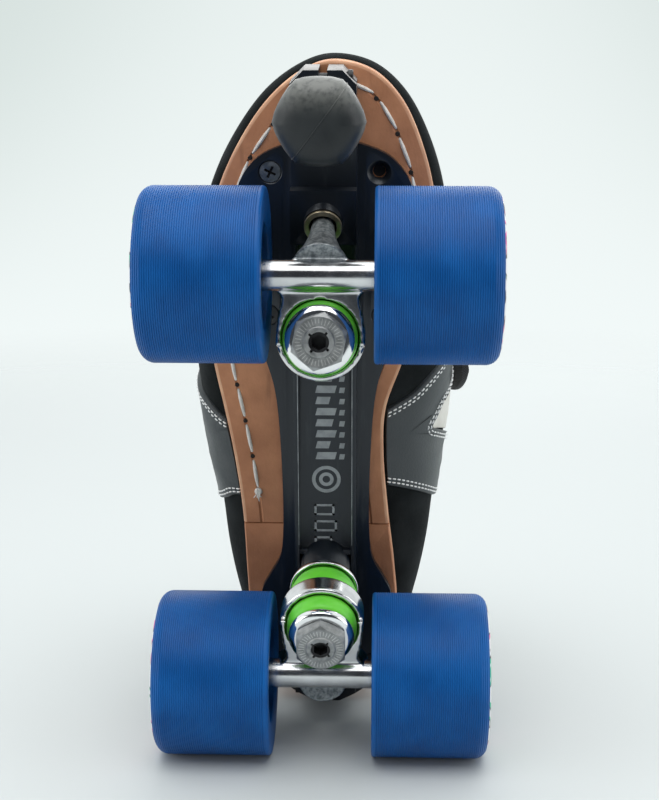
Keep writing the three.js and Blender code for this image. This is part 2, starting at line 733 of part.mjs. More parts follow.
// The sole's outline as [x, y] points, moved inwards by inset.
function soleOutline(inset = 0, count = 56) {
  return [...Array(count).keys()].map((k) => {
    const u = k / count;
    const p = loops[0].getPoint(u);
    const ahead = loops[0].getPoint((u + 0.004) % 1).sub(loops[0].getPoint((u + 0.996) % 1));
    const normal = new THREE.Vector2(ahead.y, -ahead.x).normalize();
    return [p.x + normal.x * inset, p.y + normal.y * inset];
  });
}

// The side view between two height functions, from one x to another, as a slab across the whole boot.
function between(fromX, toX, lowZ, highZ, steps = 14) {
  const xs = [...Array(steps + 1).keys()].map((k) => fromX + ((toX - fromX) * k) / steps);
  const low = xs.map((x) => [x, lowZ(x)]);
  const high = xs.map((x) => [x, highZ(x)]).reverse();
  return sideSlab([...low, ...high], -80, 80);
}

function outsole() {
  const body = slab(soleOutline(), soleZ - 1, soleZ + soleThickness + heelRise + 9);
  const front = between(heelLiftX, toeX + 12, () => soleZ, soleTop, 12);
  const rear = between(heelX - 12, heelLiftX + 0.01, (x) => soleTop(x) - soleThickness, soleTop, 8);
  return body.intersect(join(front, rear));
}

function heelLift() {
  const body = slab(soleOutline(), soleZ - 1, soleZ + heelRise + 9);
  const under = (x) => soleTop(x) - soleThickness - gap;
  return body.intersect(between(heelX - 12, heelLiftX - gap, () => soleZ, under, 8));
}

const hollow = bootBody(-upperThickness, floorThickness, 40);

const wall = (grown) => cut(bootBody(grown), bootBody(-upperThickness - grown, floorThickness + grown, 40));

const upper = () => cut(bootBody(0), hollow);

function insole() {
  const inside = bootBody(-upperThickness - gap, floorThickness);
  const lowZ = (x) => soleTop(x) + gap + floorThickness + gap;
  return inside.intersect(between(heelX + 2, toeX - 8, lowZ, (x) => lowZ(x) + insoleThickness));
}

// A panel of leather on the boot's wall: the skin between two offsets, inside an outline of the side view.
function panel(outline, fromY, toY, low = gap, high = gap + panelThickness) {
  const skin = cut(bootBody(high), bootBody(low, -0.2), hollow);
  const placed = outline.map(([x, height]) => [placeX(x), placeZ(height)]);
  return skin.intersect(sideSlab(placed, fromY, toY));
}

// Outlines in x and height over the sole's underside. Their top edges run just under the facings.
const outerQuarter = [
  ...[[-25, 1], [3, 1], [6, 5.8], [8, 8], [11, 11.5], [14, 18.5], [19, 31], [22, 45]],
  ...[[24, 55], [24, 63.4], [8, 69.2], [-21, 73.2], [-28, 71], [-34, 62], [-37.5, 50]],
  ...[[-38, 37], [-36, 24], [-31.6, 14.2], [-28.5, 10]],
];
const innerQuarter = [
  ...[[-20, 1], [8, 1], [11, 6], [12.6, 8.2], [15.3, 11.7], [19.7, 15.1], [24.1, 19], [30, 27], [33, 38]],
  ...[[34.5, 48], [31, 60.8], [26.5, 61.4], [20.5, 51], [14, 40], [10.9, 35.4], [6.7, 28.5], [1.6, 25.3]],
  ...[[-2.6, 23], [-5.5, 27.6], [-9.4, 36], [-14, 48], [-19.5, 63], [-22.6, 71.4], [-31, 66], [-37.5, 55]],
  ...[[-39, 41], [-36.8, 31], [-29.5, 17.8], [-26, 12.5], [-22.5, 7]],
];
const eyestayOutline = [[-21, 131], [-21, 75], [8, 71], [48, 57], [74, 43], [84, 63], [20, 131]];

const quarterOuter = () => panel(outerQuarter, -80, -20);
const quarterInner = () => panel(innerQuarter, 12, 80);

// A tube along the top line of the ankle opening, from one facing round the heel to the other.
function ankleCollar() {
  const radius = 5;
  const reach = 5.1 / loopCount;
  const steps = 22;
  const points = [...Array(steps + 1).keys()].map((k) => {
    const u = -reach + (2 * reach * k) / steps;
    const inward = wallNormal(u, 1).setZ(0).normalize();
    return wallPoint(u, 1)
      .addScaledVector(inward, -upperThickness / 2)
      .add(new THREE.Vector3(0, 0, radius + gap + 0.6));
  });
  const path = new THREE.CatmullRomCurve3(points);
  const section = new THREE.Shape();
  section.absellipse(0, 0, radius, radius, 0, Math.PI * 2);
  const options = { steps: 26, curveSegments: 4, bevelEnabled: false, extrudePath: path };
  return cut(solid(new THREE.ExtrudeGeometry(section, options)), bootBody(gap * 2 + panelThickness));
}

// A closed sheet of given thickness: pointAt(s, v, layer) with s along it, v across it and layer 0 below, 1 above.
function sheet(pointAt, along, across) {
  const positions = [];
  const at = (i, j, layer) => pointAt(i / along, j / across, layer);
  const quad = (...c) => [c[0], c[1], c[2], c[0], c[2], c[3]].forEach((p) => positions.push(p.x, p.y, p.z));
  for (let i = 0; i < along; i++)
    for (let j = 0; j < across; j++) {
      quad(at(i, j, 1), at(i + 1, j, 1), at(i + 1, j + 1, 1), at(i, j + 1, 1));
      quad(at(i, j + 1, 0), at(i + 1, j + 1, 0), at(i + 1, j, 0), at(i, j, 0));
    }
  for (let i = 0; i < along; i++) {
    quad(at(i, 0, 0), at(i + 1, 0, 0), at(i + 1, 0, 1), at(i, 0, 1));
    quad(at(i, across, 1), at(i + 1, across, 1), at(i + 1, across, 0), at(i, across, 0));
  }
  for (let j = 0; j < across; j++) {
    quad(at(0, j, 0), at(0, j, 1), at(0, j + 1, 1), at(0, j + 1, 0));
    quad(at(along, j + 1, 0), at(along, j + 1, 1), at(along, j, 1), at(along, j, 0));
  }
  const geometry = new THREE.BufferGeometry();
  return solid(geometry.setAttribute("position", new THREE.Float32BufferAttribute(positions, 3)));
}

// The padded tongue: a bent strip under the facings that stands above the ankle.
function tongue() {
  const spinePoints = tongueLine.map(([x, height]) => new THREE.Vector3(placeX(x), 0, placeZ(height)));
  const spine = new THREE.CatmullRomCurve3(spinePoints);
  const width = new THREE.CatmullRomCurve3(tongueHalfWidths.map((w, k) => new THREE.Vector3(k, w * widthwise, 0)));
  const padded = sheet(
    (s, v, layer) => {
      const tangent = spine.getTangent(s);
      const up = new THREE.Vector3(-tangent.z, 0, tangent.x).negate();
      const half = width.getPoint(s).y;
      const across = 2 * v - 1;
      const height = layer * tongueThickness - half * tongueCurl * across * across - tongueThickness - gap;
      return spine.getPoint(s).add(new THREE.Vector3(0, across * half, 0)).addScaledVector(up, height);
    },
    14,
    6,
  );
  return cut(padded, wall(gap));
}

// Where the loops pass a given x on one side of the boot.
function shareAt(x, inner) {
  let [low, high] = [0, (stations.length - 1) / loopCount];
  for (let k = 0; k < 30; k++) {
    const middle = (low + high) / 2;
    if (wallPoint(inner ? 1 - middle : middle, 0.7).x < x) low = middle;
    else high = middle;
  }
  return inner ? 1 - low : low;
}

// The strap goes up the outer wall, over the tongue and down the inner wall, and ends in a rounded tip.
function instepStrap() {
  const stand = gap * 2 + panelThickness + 0.5;
  const lineAt = (x) => {
    const points = [];
    for (const inner of [false, true]) {
      const share = shareAt(x, inner);
      const ts = inner ? [0.96, 0.85, 0.7, 0.55, 0.42] : [0.55, 0.65, 0.76, 0.87, 0.96];
      for (const t of ts) points.push(wallPoint(share, t).addScaledVector(wallNormal(share, t), stand));
      if (!inner) points.push(new THREE.Vector3(x, 0, wallPoint(share, 1).z + strapArch));
    }
    return new THREE.CatmullRomCurve3(points, false, "centripetal");
  };
  const band = sheet(
    (s, v, layer) => {
      const round = Math.sqrt(Math.max(0, 1 - ((Math.max(s, 0.9) - 0.9) / 0.115) ** 2));
      const x = (strapX[0] + strapX[1]) / 2 + (v - 0.5) * (strapX[1] - strapX[0]) * round;
      const line = lineAt(x);
      const tangent = line.getTangentAt(s);
      const out = new THREE.Vector3(0, -tangent.z, tangent.y).normalize();
      const tip = Math.max(0, s - 0.86) / 0.14;
      return line.getPointAt(s).addScaledVector(out, layer * strapThickness + 3.5 * tip * tip);
    },
    26,
    3,
  );
  return cut(band, bootBody(gap * 2 + panelThickness));
}

// ---- the whole skate ----------------------------------------------------------------------------------------
for (const [end, sign, turn] of [["front", 1, 0], ["rear", -1, Math.PI]]) {
  truck(end, (sign * wheelbase) / 2, turn);
  wheel(end, "inner", (sign * wheelbase) / 2, 1);
  wheel(end, "outer", (sign * wheelbase) / 2, -1);
}
add(object, "plate", plate(), blackAnodised);
for (const [name, x, y] of screwSeats) add(object, `screw_${name}`, screw(x, y), zincSteel);
add(object, "toe_stop", toeStop(), blackRubber);
add(object, "toe_stop_stem", toeStopStem(), zincSteel);
add(object, "toe_stop_clamp_bolt", clampBolt(), zincSteel);
add(object, "outsole", outsole(), tanLeather);
add(object, "heel_lift", heelLift(), tanLeather);
add(object, "boot_upper", upper(), blackSuede);
add(object, "insole", insole(), blackLining);
add(object, "quarter_panel_outer", quarterOuter(), greyLeather);
add(object, "quarter_panel_inner", quarterInner(), greyLeather);
add(object, "eyestay_outer", panel(eyestayOutline, -80, -1), blackSuede);
add(object, "eyestay_inner", panel(eyestayOutline, 3.4, 80), blackSuede);
add(object, "ankle_collar", ankleCollar(), blackLining);
add(object, "tongue", tongue(), blackLining);
add(object, "instep_strap", instepStrap(), blackWebbing);

// The origin goes under the middle of the skate's length.
const bounds = new THREE.Box3().setFromObject(object);
object.position.x = -(bounds.min.x + bounds.max.x) / 2;

export default object;
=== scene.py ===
import json
import math
import bpy
import bmesh
import numpy as np
from mathutils import Matrix, Vector

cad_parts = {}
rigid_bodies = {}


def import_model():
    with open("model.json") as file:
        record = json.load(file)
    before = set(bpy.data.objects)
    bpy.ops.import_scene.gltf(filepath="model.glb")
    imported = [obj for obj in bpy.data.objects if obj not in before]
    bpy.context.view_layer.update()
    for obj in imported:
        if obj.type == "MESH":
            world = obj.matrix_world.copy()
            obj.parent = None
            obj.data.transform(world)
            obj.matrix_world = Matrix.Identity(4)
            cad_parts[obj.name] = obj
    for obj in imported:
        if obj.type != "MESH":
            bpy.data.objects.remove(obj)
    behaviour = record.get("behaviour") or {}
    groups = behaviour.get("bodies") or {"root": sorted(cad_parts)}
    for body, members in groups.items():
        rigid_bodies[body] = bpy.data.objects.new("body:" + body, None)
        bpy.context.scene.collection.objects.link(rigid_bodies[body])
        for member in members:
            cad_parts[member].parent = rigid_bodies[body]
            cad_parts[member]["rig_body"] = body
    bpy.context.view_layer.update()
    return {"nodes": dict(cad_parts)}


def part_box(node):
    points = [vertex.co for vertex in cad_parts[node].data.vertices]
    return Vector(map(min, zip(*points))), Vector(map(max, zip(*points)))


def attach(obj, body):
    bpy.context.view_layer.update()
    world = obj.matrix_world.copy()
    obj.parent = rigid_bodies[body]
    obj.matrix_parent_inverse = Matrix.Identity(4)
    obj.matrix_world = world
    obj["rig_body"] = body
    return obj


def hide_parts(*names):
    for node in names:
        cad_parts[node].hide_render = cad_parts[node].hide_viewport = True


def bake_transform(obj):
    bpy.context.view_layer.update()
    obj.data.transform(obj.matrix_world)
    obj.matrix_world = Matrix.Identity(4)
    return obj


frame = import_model()
scene = bpy.context.scene
tau = 2 * math.pi


# middle of a node's box, in millimetres
def middleOf(node):
    low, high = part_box(node)
    return (np.array(low) + np.array(high)) * 500


axleFront, axleRear = middleOf("truck_front_axle"), middleOf("truck_rear_axle")
# every place below is measured in millimetres from the middle between the two axles
shift = np.array(((axleFront[0] + axleRear[0]) / 2, 0, 0))
halfBase = (axleFront[0] - axleRear[0]) / 2
axleZ = axleFront[2]
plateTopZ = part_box("plate")[1][2] * 1000
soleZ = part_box("outsole")[0][2] * 1000
tiny = 0.001  # a profile that closes on its turning axis starts this far out


# smooth cubic step from 0 to 1 between two values
def smoothStep(x, low, high):
    k = np.clip((np.asarray(x, float) - low) / (high - low), 0, 1)
    return k * k * (3 - 2 * k)


# the same directions with length one
def unit(v):
    return v / np.maximum(np.linalg.norm(v, axis=-1, keepdims=True), 1e-9)


# centripetal Catmull-Rom curve through the points, at shares 0 to 1 of its spans
def curveThrough(points, share, closed=False):
    points = np.asarray(points, float)
    spans = len(points) if closed else len(points) - 1
    share = np.asarray(share, float)
    at = (share % 1 if closed else np.clip(share, 0, 1)) * spans
    start = np.minimum(at.astype(int), spans - 1)
    w = (at - start)[..., None]
    if not closed:
        points = np.vstack([2 * points[0] - points[1], points, 2 * points[-1] - points[-2]])
        start = start + 1
    a, b, c, d = (points[(start + k) % len(points)] for k in (-1, 0, 1, 2))
    legs = ((a, b), (b, c), (c, d))
    step = [np.maximum(np.sum((q - p) ** 2, -1, keepdims=True) ** 0.25, 1e-4) for p, q in legs]
    leave = ((b - a) / step[0] - (c - a) / (step[0] + step[1]) + (c - b) / step[1]) * step[1]
    arrive = ((c - b) / step[1] - (d - b) / (step[1] + step[2]) + (d - c) / step[2]) * step[1]
    return b + w * (leave + w * (-3 * b + 3 * c - 2 * leave - arrive + w * (2 * b - 2 * c + leave + arrive)))


# the same points spread evenly by length
def evenly(points, count):
    length = np.r_[0, np.cumsum(np.linalg.norm(np.diff(points, axis=0), axis=1))]
    at = np.linspace(0, length[-1], count)
    return np.stack([np.interp(at, length, points[:, k]) for k in range(points.shape[1])], 1)


# quads of a grid whose row i, column j is point i * columns + j
def gridFaces(rows, columns, closedRows=False, closedColumns=False):
    i = np.arange(rows if closedRows else rows - 1)[:, None]
    j = np.arange(columns if closedColumns else columns - 1)[None, :]
    down, right = (i + 1) % rows, (j + 1) % columns
    corners = [i * columns + j, i * columns + right, down * columns + right, down * columns + j]
    return np.stack(corners, -1).reshape(-1, 4)


# closed rings of points, one row each, joined into one surface
def shell(rows):
    rows = np.asarray(rows, float)
    return rows.reshape(-1, 3), gridFaces(len(rows), rows.shape[1], False, True)


# the same rings with each end drawn to the middle of its last ring
def capped(rows):
    first, last = (np.repeat(rows[k].mean(0)[None, None], rows.shape[1], 1) for k in (0, -1))
    return np.concatenate([first, rows, last])


def rectangle(low, high):
    return [(low[0], low[1]), (high[0], low[1]), (high[0], high[1]), (low[0], high[1])]


# a closed profile with each corner turned into a quadratic curve that starts a radius away along its edges
def rounded(corners, radius, steps=4):
    p = np.asarray(corners, float)
    before, after = np.roll(p, 1, 0) - p, np.roll(p, -1, 0) - p
    reach = [np.minimum(radius, 0.45 * np.linalg.norm(e, axis=1))[:, None] * unit(e) for e in (before, after)]
    s = np.linspace(0, 1, steps)[None, :, None]
    a, c, b = (p + reach[0])[:, None], p[:, None], (p + reach[1])[:, None]
    return ((1 - s) ** 2 * a + 2 * s * (1 - s) * c + s * s * b).reshape(-1, 2)


# profile [radius, height] turned round an axis; the profile closes on itself
def turned(profile, place, sides=64):
    profile = np.asarray(profile, float)
    angle = np.arange(sides)[:, None] / sides * tau
    x, y = profile[:, 0] * np.cos(angle), profile[:, 0] * np.sin(angle)
    local = np.stack([x, y, profile[:, 1] + 0 * angle], -1).reshape(-1, 3)
    return place(local), gridFaces(sides, len(profile), True, True)


# a plain cylinder between two heights
def disc(radius, low, high, place, sides):
    return turned(rectangle((tiny, low), (radius, high)), place, sides)


# an outline carried straight from one height to another, its two ends closed by rings that shrink to a point
def prism(outline, low, high, place, bevel=0.0):
    outline = np.asarray(outline, float)
    inward = unit(outline.mean(0) - outline) * bevel
    rings = [(outline + inward, low), (outline, low + bevel), (outline, high - bevel), (outline + inward, high)]
    points = np.concatenate([np.c_[ring, np.full(len(ring), float(h))] for ring, h in rings])
    n = len(outline)
    faces = gridFaces(4, n, False, True).tolist() + [list(range(n))[::-1], list(range(3 * n, 4 * n))]
    return place(points), faces


# a tube of changing radius along a path, with its ends closed to points
def tubeAlong(path, radius, sides=12, flat=1.0, upward=(0, 0, 1)):
    path = np.asarray(path, float)
    tangent = unit(np.gradient(path, axis=0))
    side = unit(np.cross(tangent, np.asarray(upward, float) + 0 * tangent))
    up = np.cross(side, tangent)
    angle = np.arange(sides) / sides * tau
    ring = np.asarray(radius)[..., None, None] * (
        side[:, None] * np.cos(angle)[None, :, None] + up[:, None] * np.sin(angle)[None, :, None] * flat)
    first, last = (np.repeat(point[None, None], sides, 1) for point in (path[0], path[-1]))
    return shell(np.concatenate([first, path[:, None] + ring, last]))


# six corners whose flats are a width apart
def hexagon(acrossFlats, turn=0.0):
    angle = np.arange(6) / 6 * tau + turn
    return acrossFlats / 2 / math.cos(math.pi / 6) * np.stack([np.cos(angle), np.sin(angle)], 1)


# a half outline with x and positive y, and its mirror image
def mirrorLine(half):
    half = np.asarray(half, float)
    return np.concatenate([half * (1, -1), half[::-1]])


# a place is a function that turns points by rows and moves them to an origin
def placeBy(rows, origin):
    return lambda points: np.asarray(points, float) @ np.asarray(rows, float) + origin


def tilted(angle, origin):
    return placeBy([(math.cos(angle), 0, -math.sin(angle)), (0, 1, 0), (math.sin(angle), 0, math.cos(angle))],
                   origin)


def movedTo(x, y, z=0.0):
    return placeBy(np.eye(3), (x, y, z))


# a place whose shapes are first turned about their own upright axis
def spun(place, angle):
    c, s = math.cos(angle), math.sin(angle)
    rows = np.array([(c, s, 0), (-s, c, 0), (0, 0, 1)])
    return lambda points: place(np.asarray(points, float) @ rows)


upright = placeBy(np.eye(3), (0, 0, 0))
acrossRows = [(1, 0, 0), (0, 0, -1), (0, 1, 0)]  # the turning axis along +Y


# a mesh from millimetres, with merged points and faces that look outward; which gives the look of each face
def meshObject(name, points, faces, looks=(), which=None):
    mesh = bpy.data.meshes.new(name)
    placed = (np.asarray(points, float) + shift) / 1000
    mesh.from_pydata(placed.tolist(), [], faces.tolist() if isinstance(faces, np.ndarray) else faces)
    for look in looks:
        mesh.materials.append(look.material)
    if which is not None:
        mesh.polygons.foreach_set("material_index", np.asarray(which, np.int32))
    made = bpy.data.objects.new(name, mesh)
    scene.collection.objects.link(made)
    work = bmesh.new()
    work.from_mesh(mesh)
    bmesh.ops.remove_doubles(work, verts=work.verts, dist=3e-6)
    bmesh.ops.dissolve_degenerate(work, edges=work.edges, dist=1e-7)
    bmesh.ops.recalc_face_normals(work, faces=work.faces)
    work.to_mesh(mesh)
    work.free()
    return made


# several (points, faces, look index) as one
def together(*parts):
    points, faces, which = [], [], []
    for part in parts:
        start = sum(len(p) for p in points)
        points.append(np.asarray(part[0], float))
        faces += [[int(k) + start for k in face] for face in part[1]]
        which += [part[2] if len(part) > 2 else 0] * len(part[1])
    return np.concatenate(points), faces, which


# the piece with its modifiers worked into the mesh
def applied(made):
    graph = bpy.context.evaluated_depsgraph_get()
    mesh = bpy.data.meshes.new_from_object(made.evaluated_get(graph))
    made.modifiers.clear()
    old, made.data = made.data, mesh
    bpy.data.meshes.remove(old)
    return made


# boolean of one closed mesh with others, one after another
def carve(made, tools, operation="DIFFERENCE"):
    for tool in tools:
        other = meshObject("carvingTool", *tool[:2])
        change = made.modifiers.new("carve", "BOOLEAN")
        change.operation, change.solver, change.object = operation, "MANIFOLD", other
        applied(made)
        bpy.data.meshes.remove(other.data)
    return made


# rounded edges of a width, where faces meet at more than an angle
def softened(made, width, segments=2, angle=32):
    change = made.modifiers.new("edges", "BEVEL")
    change.width, change.segments, change.limit_method = width / 1000, segments, "ANGLE"
    change.angle_limit, change.harden_normals = math.radians(angle), False
    return applied(made)


# looks, smooth shading, and what the piece stands for and rides on
def settle(made, body, nodes=(), looks=(), sharp=34):
    if looks:
        made.data.materials.clear()
        for look in looks:
            made.data.materials.append(look.material)
    made.data.polygons.foreach_set("use_smooth", np.ones(len(made.data.polygons), bool))
    made.data.set_sharp_from_angle(angle=math.radians(sharp))
    if nodes:
        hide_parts(*nodes)
    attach(made, body)
    return made


def piece(name, parts, looks, body, nodes=(), sharp=34):
    points, faces, which = together(*parts)
    return settle(meshObject(name, points, faces, looks, which), body, nodes, sharp=sharp)


# middles of a piece's faces, in millimetres from an origin
def faceMiddles(made, origin=(0, 0, 0)):
    middles = np.zeros(3 * len(made.data.polygons))
    made.data.polygons.foreach_get("center", middles)
    return middles.reshape(-1, 3) * 1000 - shift - origin


def chooseLooks(made, which):
    made.data.polygons.foreach_set("material_index", np.asarray(which).astype(np.int32))


# a socket with the operators that the patterns use
class Value:
    def __init__(self, look, socket):
        self.look, self.socket = look, socket

    def sum(self, operation, *others):
        return self.look.node("ShaderNodeMath", {"operation": operation}, dict(enumerate(others)))

    def __add__(self, other): return self.sum("ADD", self, other)
    def __radd__(self, other): return self.sum("ADD", other, self)
    def __mul__(self, other): return self.sum("MULTIPLY", self, other)
    def __rmul__(self, other): return self.sum("MULTIPLY", other, self)
    def wave(self): return self.sum("SINE", self)

    def between(self, low, high, start=0.0, end=1.0):
        inputs = {"Value": self, "From Min": low, "From Max": high, "To Min": start, "To Max": end}
        return self.look.node("ShaderNodeMapRange", {"interpolation_type": "SMOOTHSTEP"}, inputs)


# one node tree: its shader and the place that its patterns are drawn in
class Nodes:
    def __init__(self, tree, shader, output="Object"):
        self.tree, self.shader = tree, tree.nodes[shader]
        self.place = self.node("ShaderNodeTexCoord", output=output)

    def feed(self, socket, value):
        if isinstance(value, Value):
            self.tree.links.new(value.socket, socket)
        elif isinstance(value, tuple) and len(value) == 3 and socket.type == "RGBA":
            socket.default_value = (*value, 1)
        else:
            socket.default_value = value

    # settings first, then the values or links of the sockets
    def node(self, kind, settings={}, inputs={}, output=0):
        made = self.tree.nodes.new(kind)
        for key, value in settings.items():
            setattr(made, key, value)
        for key, value in inputs.items():
            self.feed(made.inputs[key], value)
        return Value(self, made.outputs[output])

    def axis(self, index):
        return self.node("ShaderNodeSeparateXYZ", {}, {0: self.place}, output=index)

    def noise(self, scale, detail=3.0, roughness=0.5, stretch=(1, 1, 1)):
        where = self.place
        if stretch != (1, 1, 1):
            where = self.node("ShaderNodeVectorMath", {"operation": "MULTIPLY"}, {0: self.place, 1: stretch})
        inputs = {"Vector": where, "Scale": scale, "Detail": detail, "Roughness": roughness}
        return self.node("ShaderNodeTexNoise", {}, inputs)

    def cells(self, scale, output="Distance", feature="F1"):
        return self.node("ShaderNodeTexVoronoi", {"feature": feature}, {"Vector": self.place, "Scale": scale},
                         output)

    def mix(self, factor, a, b):
        inputs = {0: factor, 6: a, 7: b}
        return self.node("ShaderNodeMix", {"data_type": "RGBA"}, inputs, output=2)

    def set(self, **sockets):
        for socket, value in sockets.items():
            self.feed(self.shader.inputs[socket.replace("_", " ")], value)
        return self

    def bump(self, height, distance, strength=1.0):
        inputs = {"Height": height, "Distance": distance / 1000, "Strength": strength}
        return self.set(Normal=self.node("ShaderNodeBump", {}, inputs, output="Normal"))


class Look(Nodes):
    def __init__(self, name, **shader):
        self.material = bpy.data.materials.new(name)
        self.material.use_nodes = True
        super().__init__(self.material.node_tree, "Principled BSDF")
        self.set(**shader)


# mottled colour and roughness with a fine grain
def plainLook(name, dark, light, roughness, scale, grain, depth, **shader):
    look = Look(name, **shader)
    patch = look.noise(scale, 4).between(0.3, 0.7)
    fine = look.noise(grain, 4, 0.6)
    dull, sharp = roughness[1], roughness[0]
    look.set(Base_Color=look.mix(patch, dark, light), Roughness=sharp + (dull - sharp) * patch)
    return look.bump(fine, depth)


# name, darker and lighter tone, range of roughness, size of patches, size and depth of the grain
blue = plainLook("blue_urethane", (0.0012, 0.074, 0.275), (0.0020, 0.100, 0.350), (0.42, 0.50), 60, 900, 0.02,
                 Specular_IOR_Level=0.25)
core = plainLook("teal_core", (0.004, 0.075, 0.11), (0.008, 0.11, 0.15), (0.3, 0.42), 80, 1200, 0.03)
steel = plainLook("bearing_steel", (0.50, 0.51, 0.53), (0.62, 0.63, 0.65), (0.22, 0.34), 300, 2500, 0.01,
                  Metallic=1.0)
seal = plainLook("bearing_seal", (0.02, 0.02, 0.022), (0.035, 0.035, 0.038), (0.5, 0.6), 300, 2500, 0.02)
zinc = plainLook("zinc_steel", (0.52, 0.53, 0.55), (0.66, 0.67, 0.69), (0.24, 0.38), 400, 3000, 0.01,
                 Metallic=1.0)
blackOxide = plainLook("black_oxide", (0.012, 0.013, 0.014), (0.03, 0.031, 0.033), (0.3, 0.45), 400, 2500, 0.02,
                       Metallic=0.5)
chrome = plainLook("polished_cup", (0.82, 0.83, 0.84), (0.90, 0.91, 0.92), (0.07, 0.14), 160, 1800, 0.006,
                   Metallic=1.0)
green = plainLook("green_urethane", (0.10, 0.56, 0.03), (0.16, 0.68, 0.05), (0.30, 0.40), 90, 1400, 0.02)
brassy = plainLook("brass_cup", (0.40, 0.33, 0.22), (0.60, 0.51, 0.36), (0.28, 0.40), 300, 2000, 0.02,
                   Metallic=1.0)
tickSteel = plainLook("tick_steel", (0.50, 0.51, 0.50), (0.66, 0.67, 0.66), (0.35, 0.45), 500, 3000, 0.01,
                      Metallic=0.7)
nutFace = plainLook("nut_steel", (0.26, 0.27, 0.27), (0.40, 0.41, 0.41), (0.42, 0.56), 500, 3000, 0.02,
                    Metallic=0.85)
clampMetal = plainLook("light_clamp_metal", (0.25, 0.245, 0.24), (0.36, 0.35, 0.345), (0.48, 0.60), 200, 2500, 0.01,
                     Metallic=0.85)
wornEdge = plainLook("worn_rail_edge", (0.16, 0.17, 0.18), (0.34, 0.36, 0.37), (0.35, 0.45), 200, 2500, 0.01,
                     Metallic=0.6)
gunmetal = plainLook("dark_screw_steel", (0.12, 0.13, 0.135), (0.21, 0.225, 0.23), (0.42, 0.55), 400, 3000,
                     0.01,
                     Metallic=0.9)
thread = plainLook("pale_thread", (0.66, 0.63, 0.58), (0.82, 0.79, 0.74), (0.7, 0.85), 500, 4000, 0.10)
whiteThread = plainLook("white_thread", (0.74, 0.75, 0.74), (0.88, 0.89, 0.88), (0.7, 0.8), 800, 5000, 0.05)
blackThread = plainLook("black_thread", (0.02, 0.021, 0.023), (0.05, 0.052, 0.055), (0.6, 0.7), 800, 5000, 0.03)
# painted shade: the near-black colour put into stitch holes, eyelet holes, screw recesses and the empty screw
# hole
holeShade = plainLook("painted_hole_shade", (0.010, 0.008, 0.007), (0.022, 0.016, 0.013), (0.8, 0.9), 800, 3000, 0.05)
paint = plainLook("grey_print", (0.23, 0.25, 0.26), (0.33, 0.35, 0.36), (0.45, 0.6), 300, 2500, 0.01)
lining = plainLook("black_lining", (0.008, 0.009, 0.010), (0.018, 0.019, 0.021), (0.85, 0.95), 120, 1400, 0.12,
                   Sheen_Weight=0.12)
cream = plainLook("cream_leather", (0.60, 0.58, 0.52), (0.74, 0.73, 0.68), (0.45, 0.6), 90, 1200, 0.06)
tanEdge = plainLook("bevelled_sole_edge", (0.55, 0.27, 0.15), (0.70, 0.40, 0.24), (0.5, 0.65), 90, 900, 0.06)

# wheel side: thin wavy lines in two inks over a pale ground, and fewer dark ones
rim = Look("pale_printed_side", Roughness=0.42)
swirl = rim.noise(55, 2, 0.4) * 46
ink = rim.noise(30, 1).between(0.40, 0.60)
printed = rim.mix(ink, (0.75, 0.05, 0.33), (0.02, 0.46, 0.25))
paleSide = rim.mix(swirl.wave().between(0.35, 0.55), (0.74, 0.76, 0.77), printed)
rim.set(Base_Color=rim.mix((swirl + 0.9).wave().between(0.88, 0.96), paleSide, (0.02, 0.02, 0.025)))
rim.bump(rim.noise(1500, 2), 0.02)

# rubber, dusty in patches, and grey in speckled patches towards its front: partly scuffs, partly a painted
# highlight where the front is lit
rubber = Look("black_rubber", Specular_IOR_Level=0.4)
stopHigh = float(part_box("toe_stop")[1][0])
# partly scuffs, partly a painted highlight: speckled grey over the lit front of the stop
scuffAndHighlight = rubber.axis(0).between(stopHigh - 0.013, stopHigh - 0.001) * rubber.noise(420, 4).between(0.1, 0.6)
dusty = rubber.noise(70, 4).between(0.3, 0.7)
cleanRubber = rubber.mix(dusty, (0.009, 0.012, 0.014), (0.019, 0.023, 0.025))
rubber.set(Base_Color=rubber.mix(scuffAndHighlight, cleanRubber, (0.15, 0.155, 0.145)), Roughness=0.38 + 0.14 * dusty)
rubber.bump(rubber.noise(1500, 4, 0.6), 0.05)

# cast hanger: bright where it was polished, grey and pitted on the pivot arm
cast = plainLook("polished_alloy", (0.56, 0.57, 0.58), (0.74, 0.75, 0.76), (0.14, 0.27), 110, 1500, 0.012,
                 Metallic=1.0)
pitted = Look("rough_cast_arm", Metallic=0.85)
pits = pitted.noise(620, 5, 0.65)
pitTone = pitted.mix(pits.between(0.34, 0.66), (0.17, 0.195, 0.205), (0.46, 0.49, 0.50))
pitted.set(Base_Color=pitTone, Roughness=0.36 + 0.2 * pits)
pitted.bump(pits, 0.16)

# anodised plate: satin black with fine scratches
anodised = Look("black_anodised", Metallic=0.35, Specular_IOR_Level=0.6)
scuff = anodised.noise(260, 5, 0.6, (0.15, 1, 1)).between(0.55, 0.8)
scratched = anodised.mix(scuff, (0.010, 0.014, 0.020), (0.030, 0.036, 0.042))
anodised.set(Base_Color=scratched, Roughness=0.30 + 0.16 * scuff)
anodised.bump(anodised.noise(2600, 3), 0.015)

# sole leather: fine fibres, darker stains and rubbed spots
tan = Look("tan_leather", Specular_IOR_Level=0.35)
fibre = tan.noise(700, 6, 0.7, (0.35, 1, 1))
stain = tan.noise(38, 5, 0.6).between(0.32, 0.72)
mark = tan.noise(150, 3, 0.5, (0.2, 1, 1)).between(0.60, 0.72)
hide = tan.mix(stain, (0.41, 0.165, 0.078), (0.60, 0.265, 0.135))
hide = tan.mix(0.35 * mark, hide, (0.15, 0.058, 0.030))
tan.set(Base_Color=tan.mix(0.30 * fibre, hide, (0.50, 0.26, 0.14)), Roughness=0.48 + 0.22 * fibre)
tan.bump(fibre + 0.4 * tan.cells(900), 0.10)

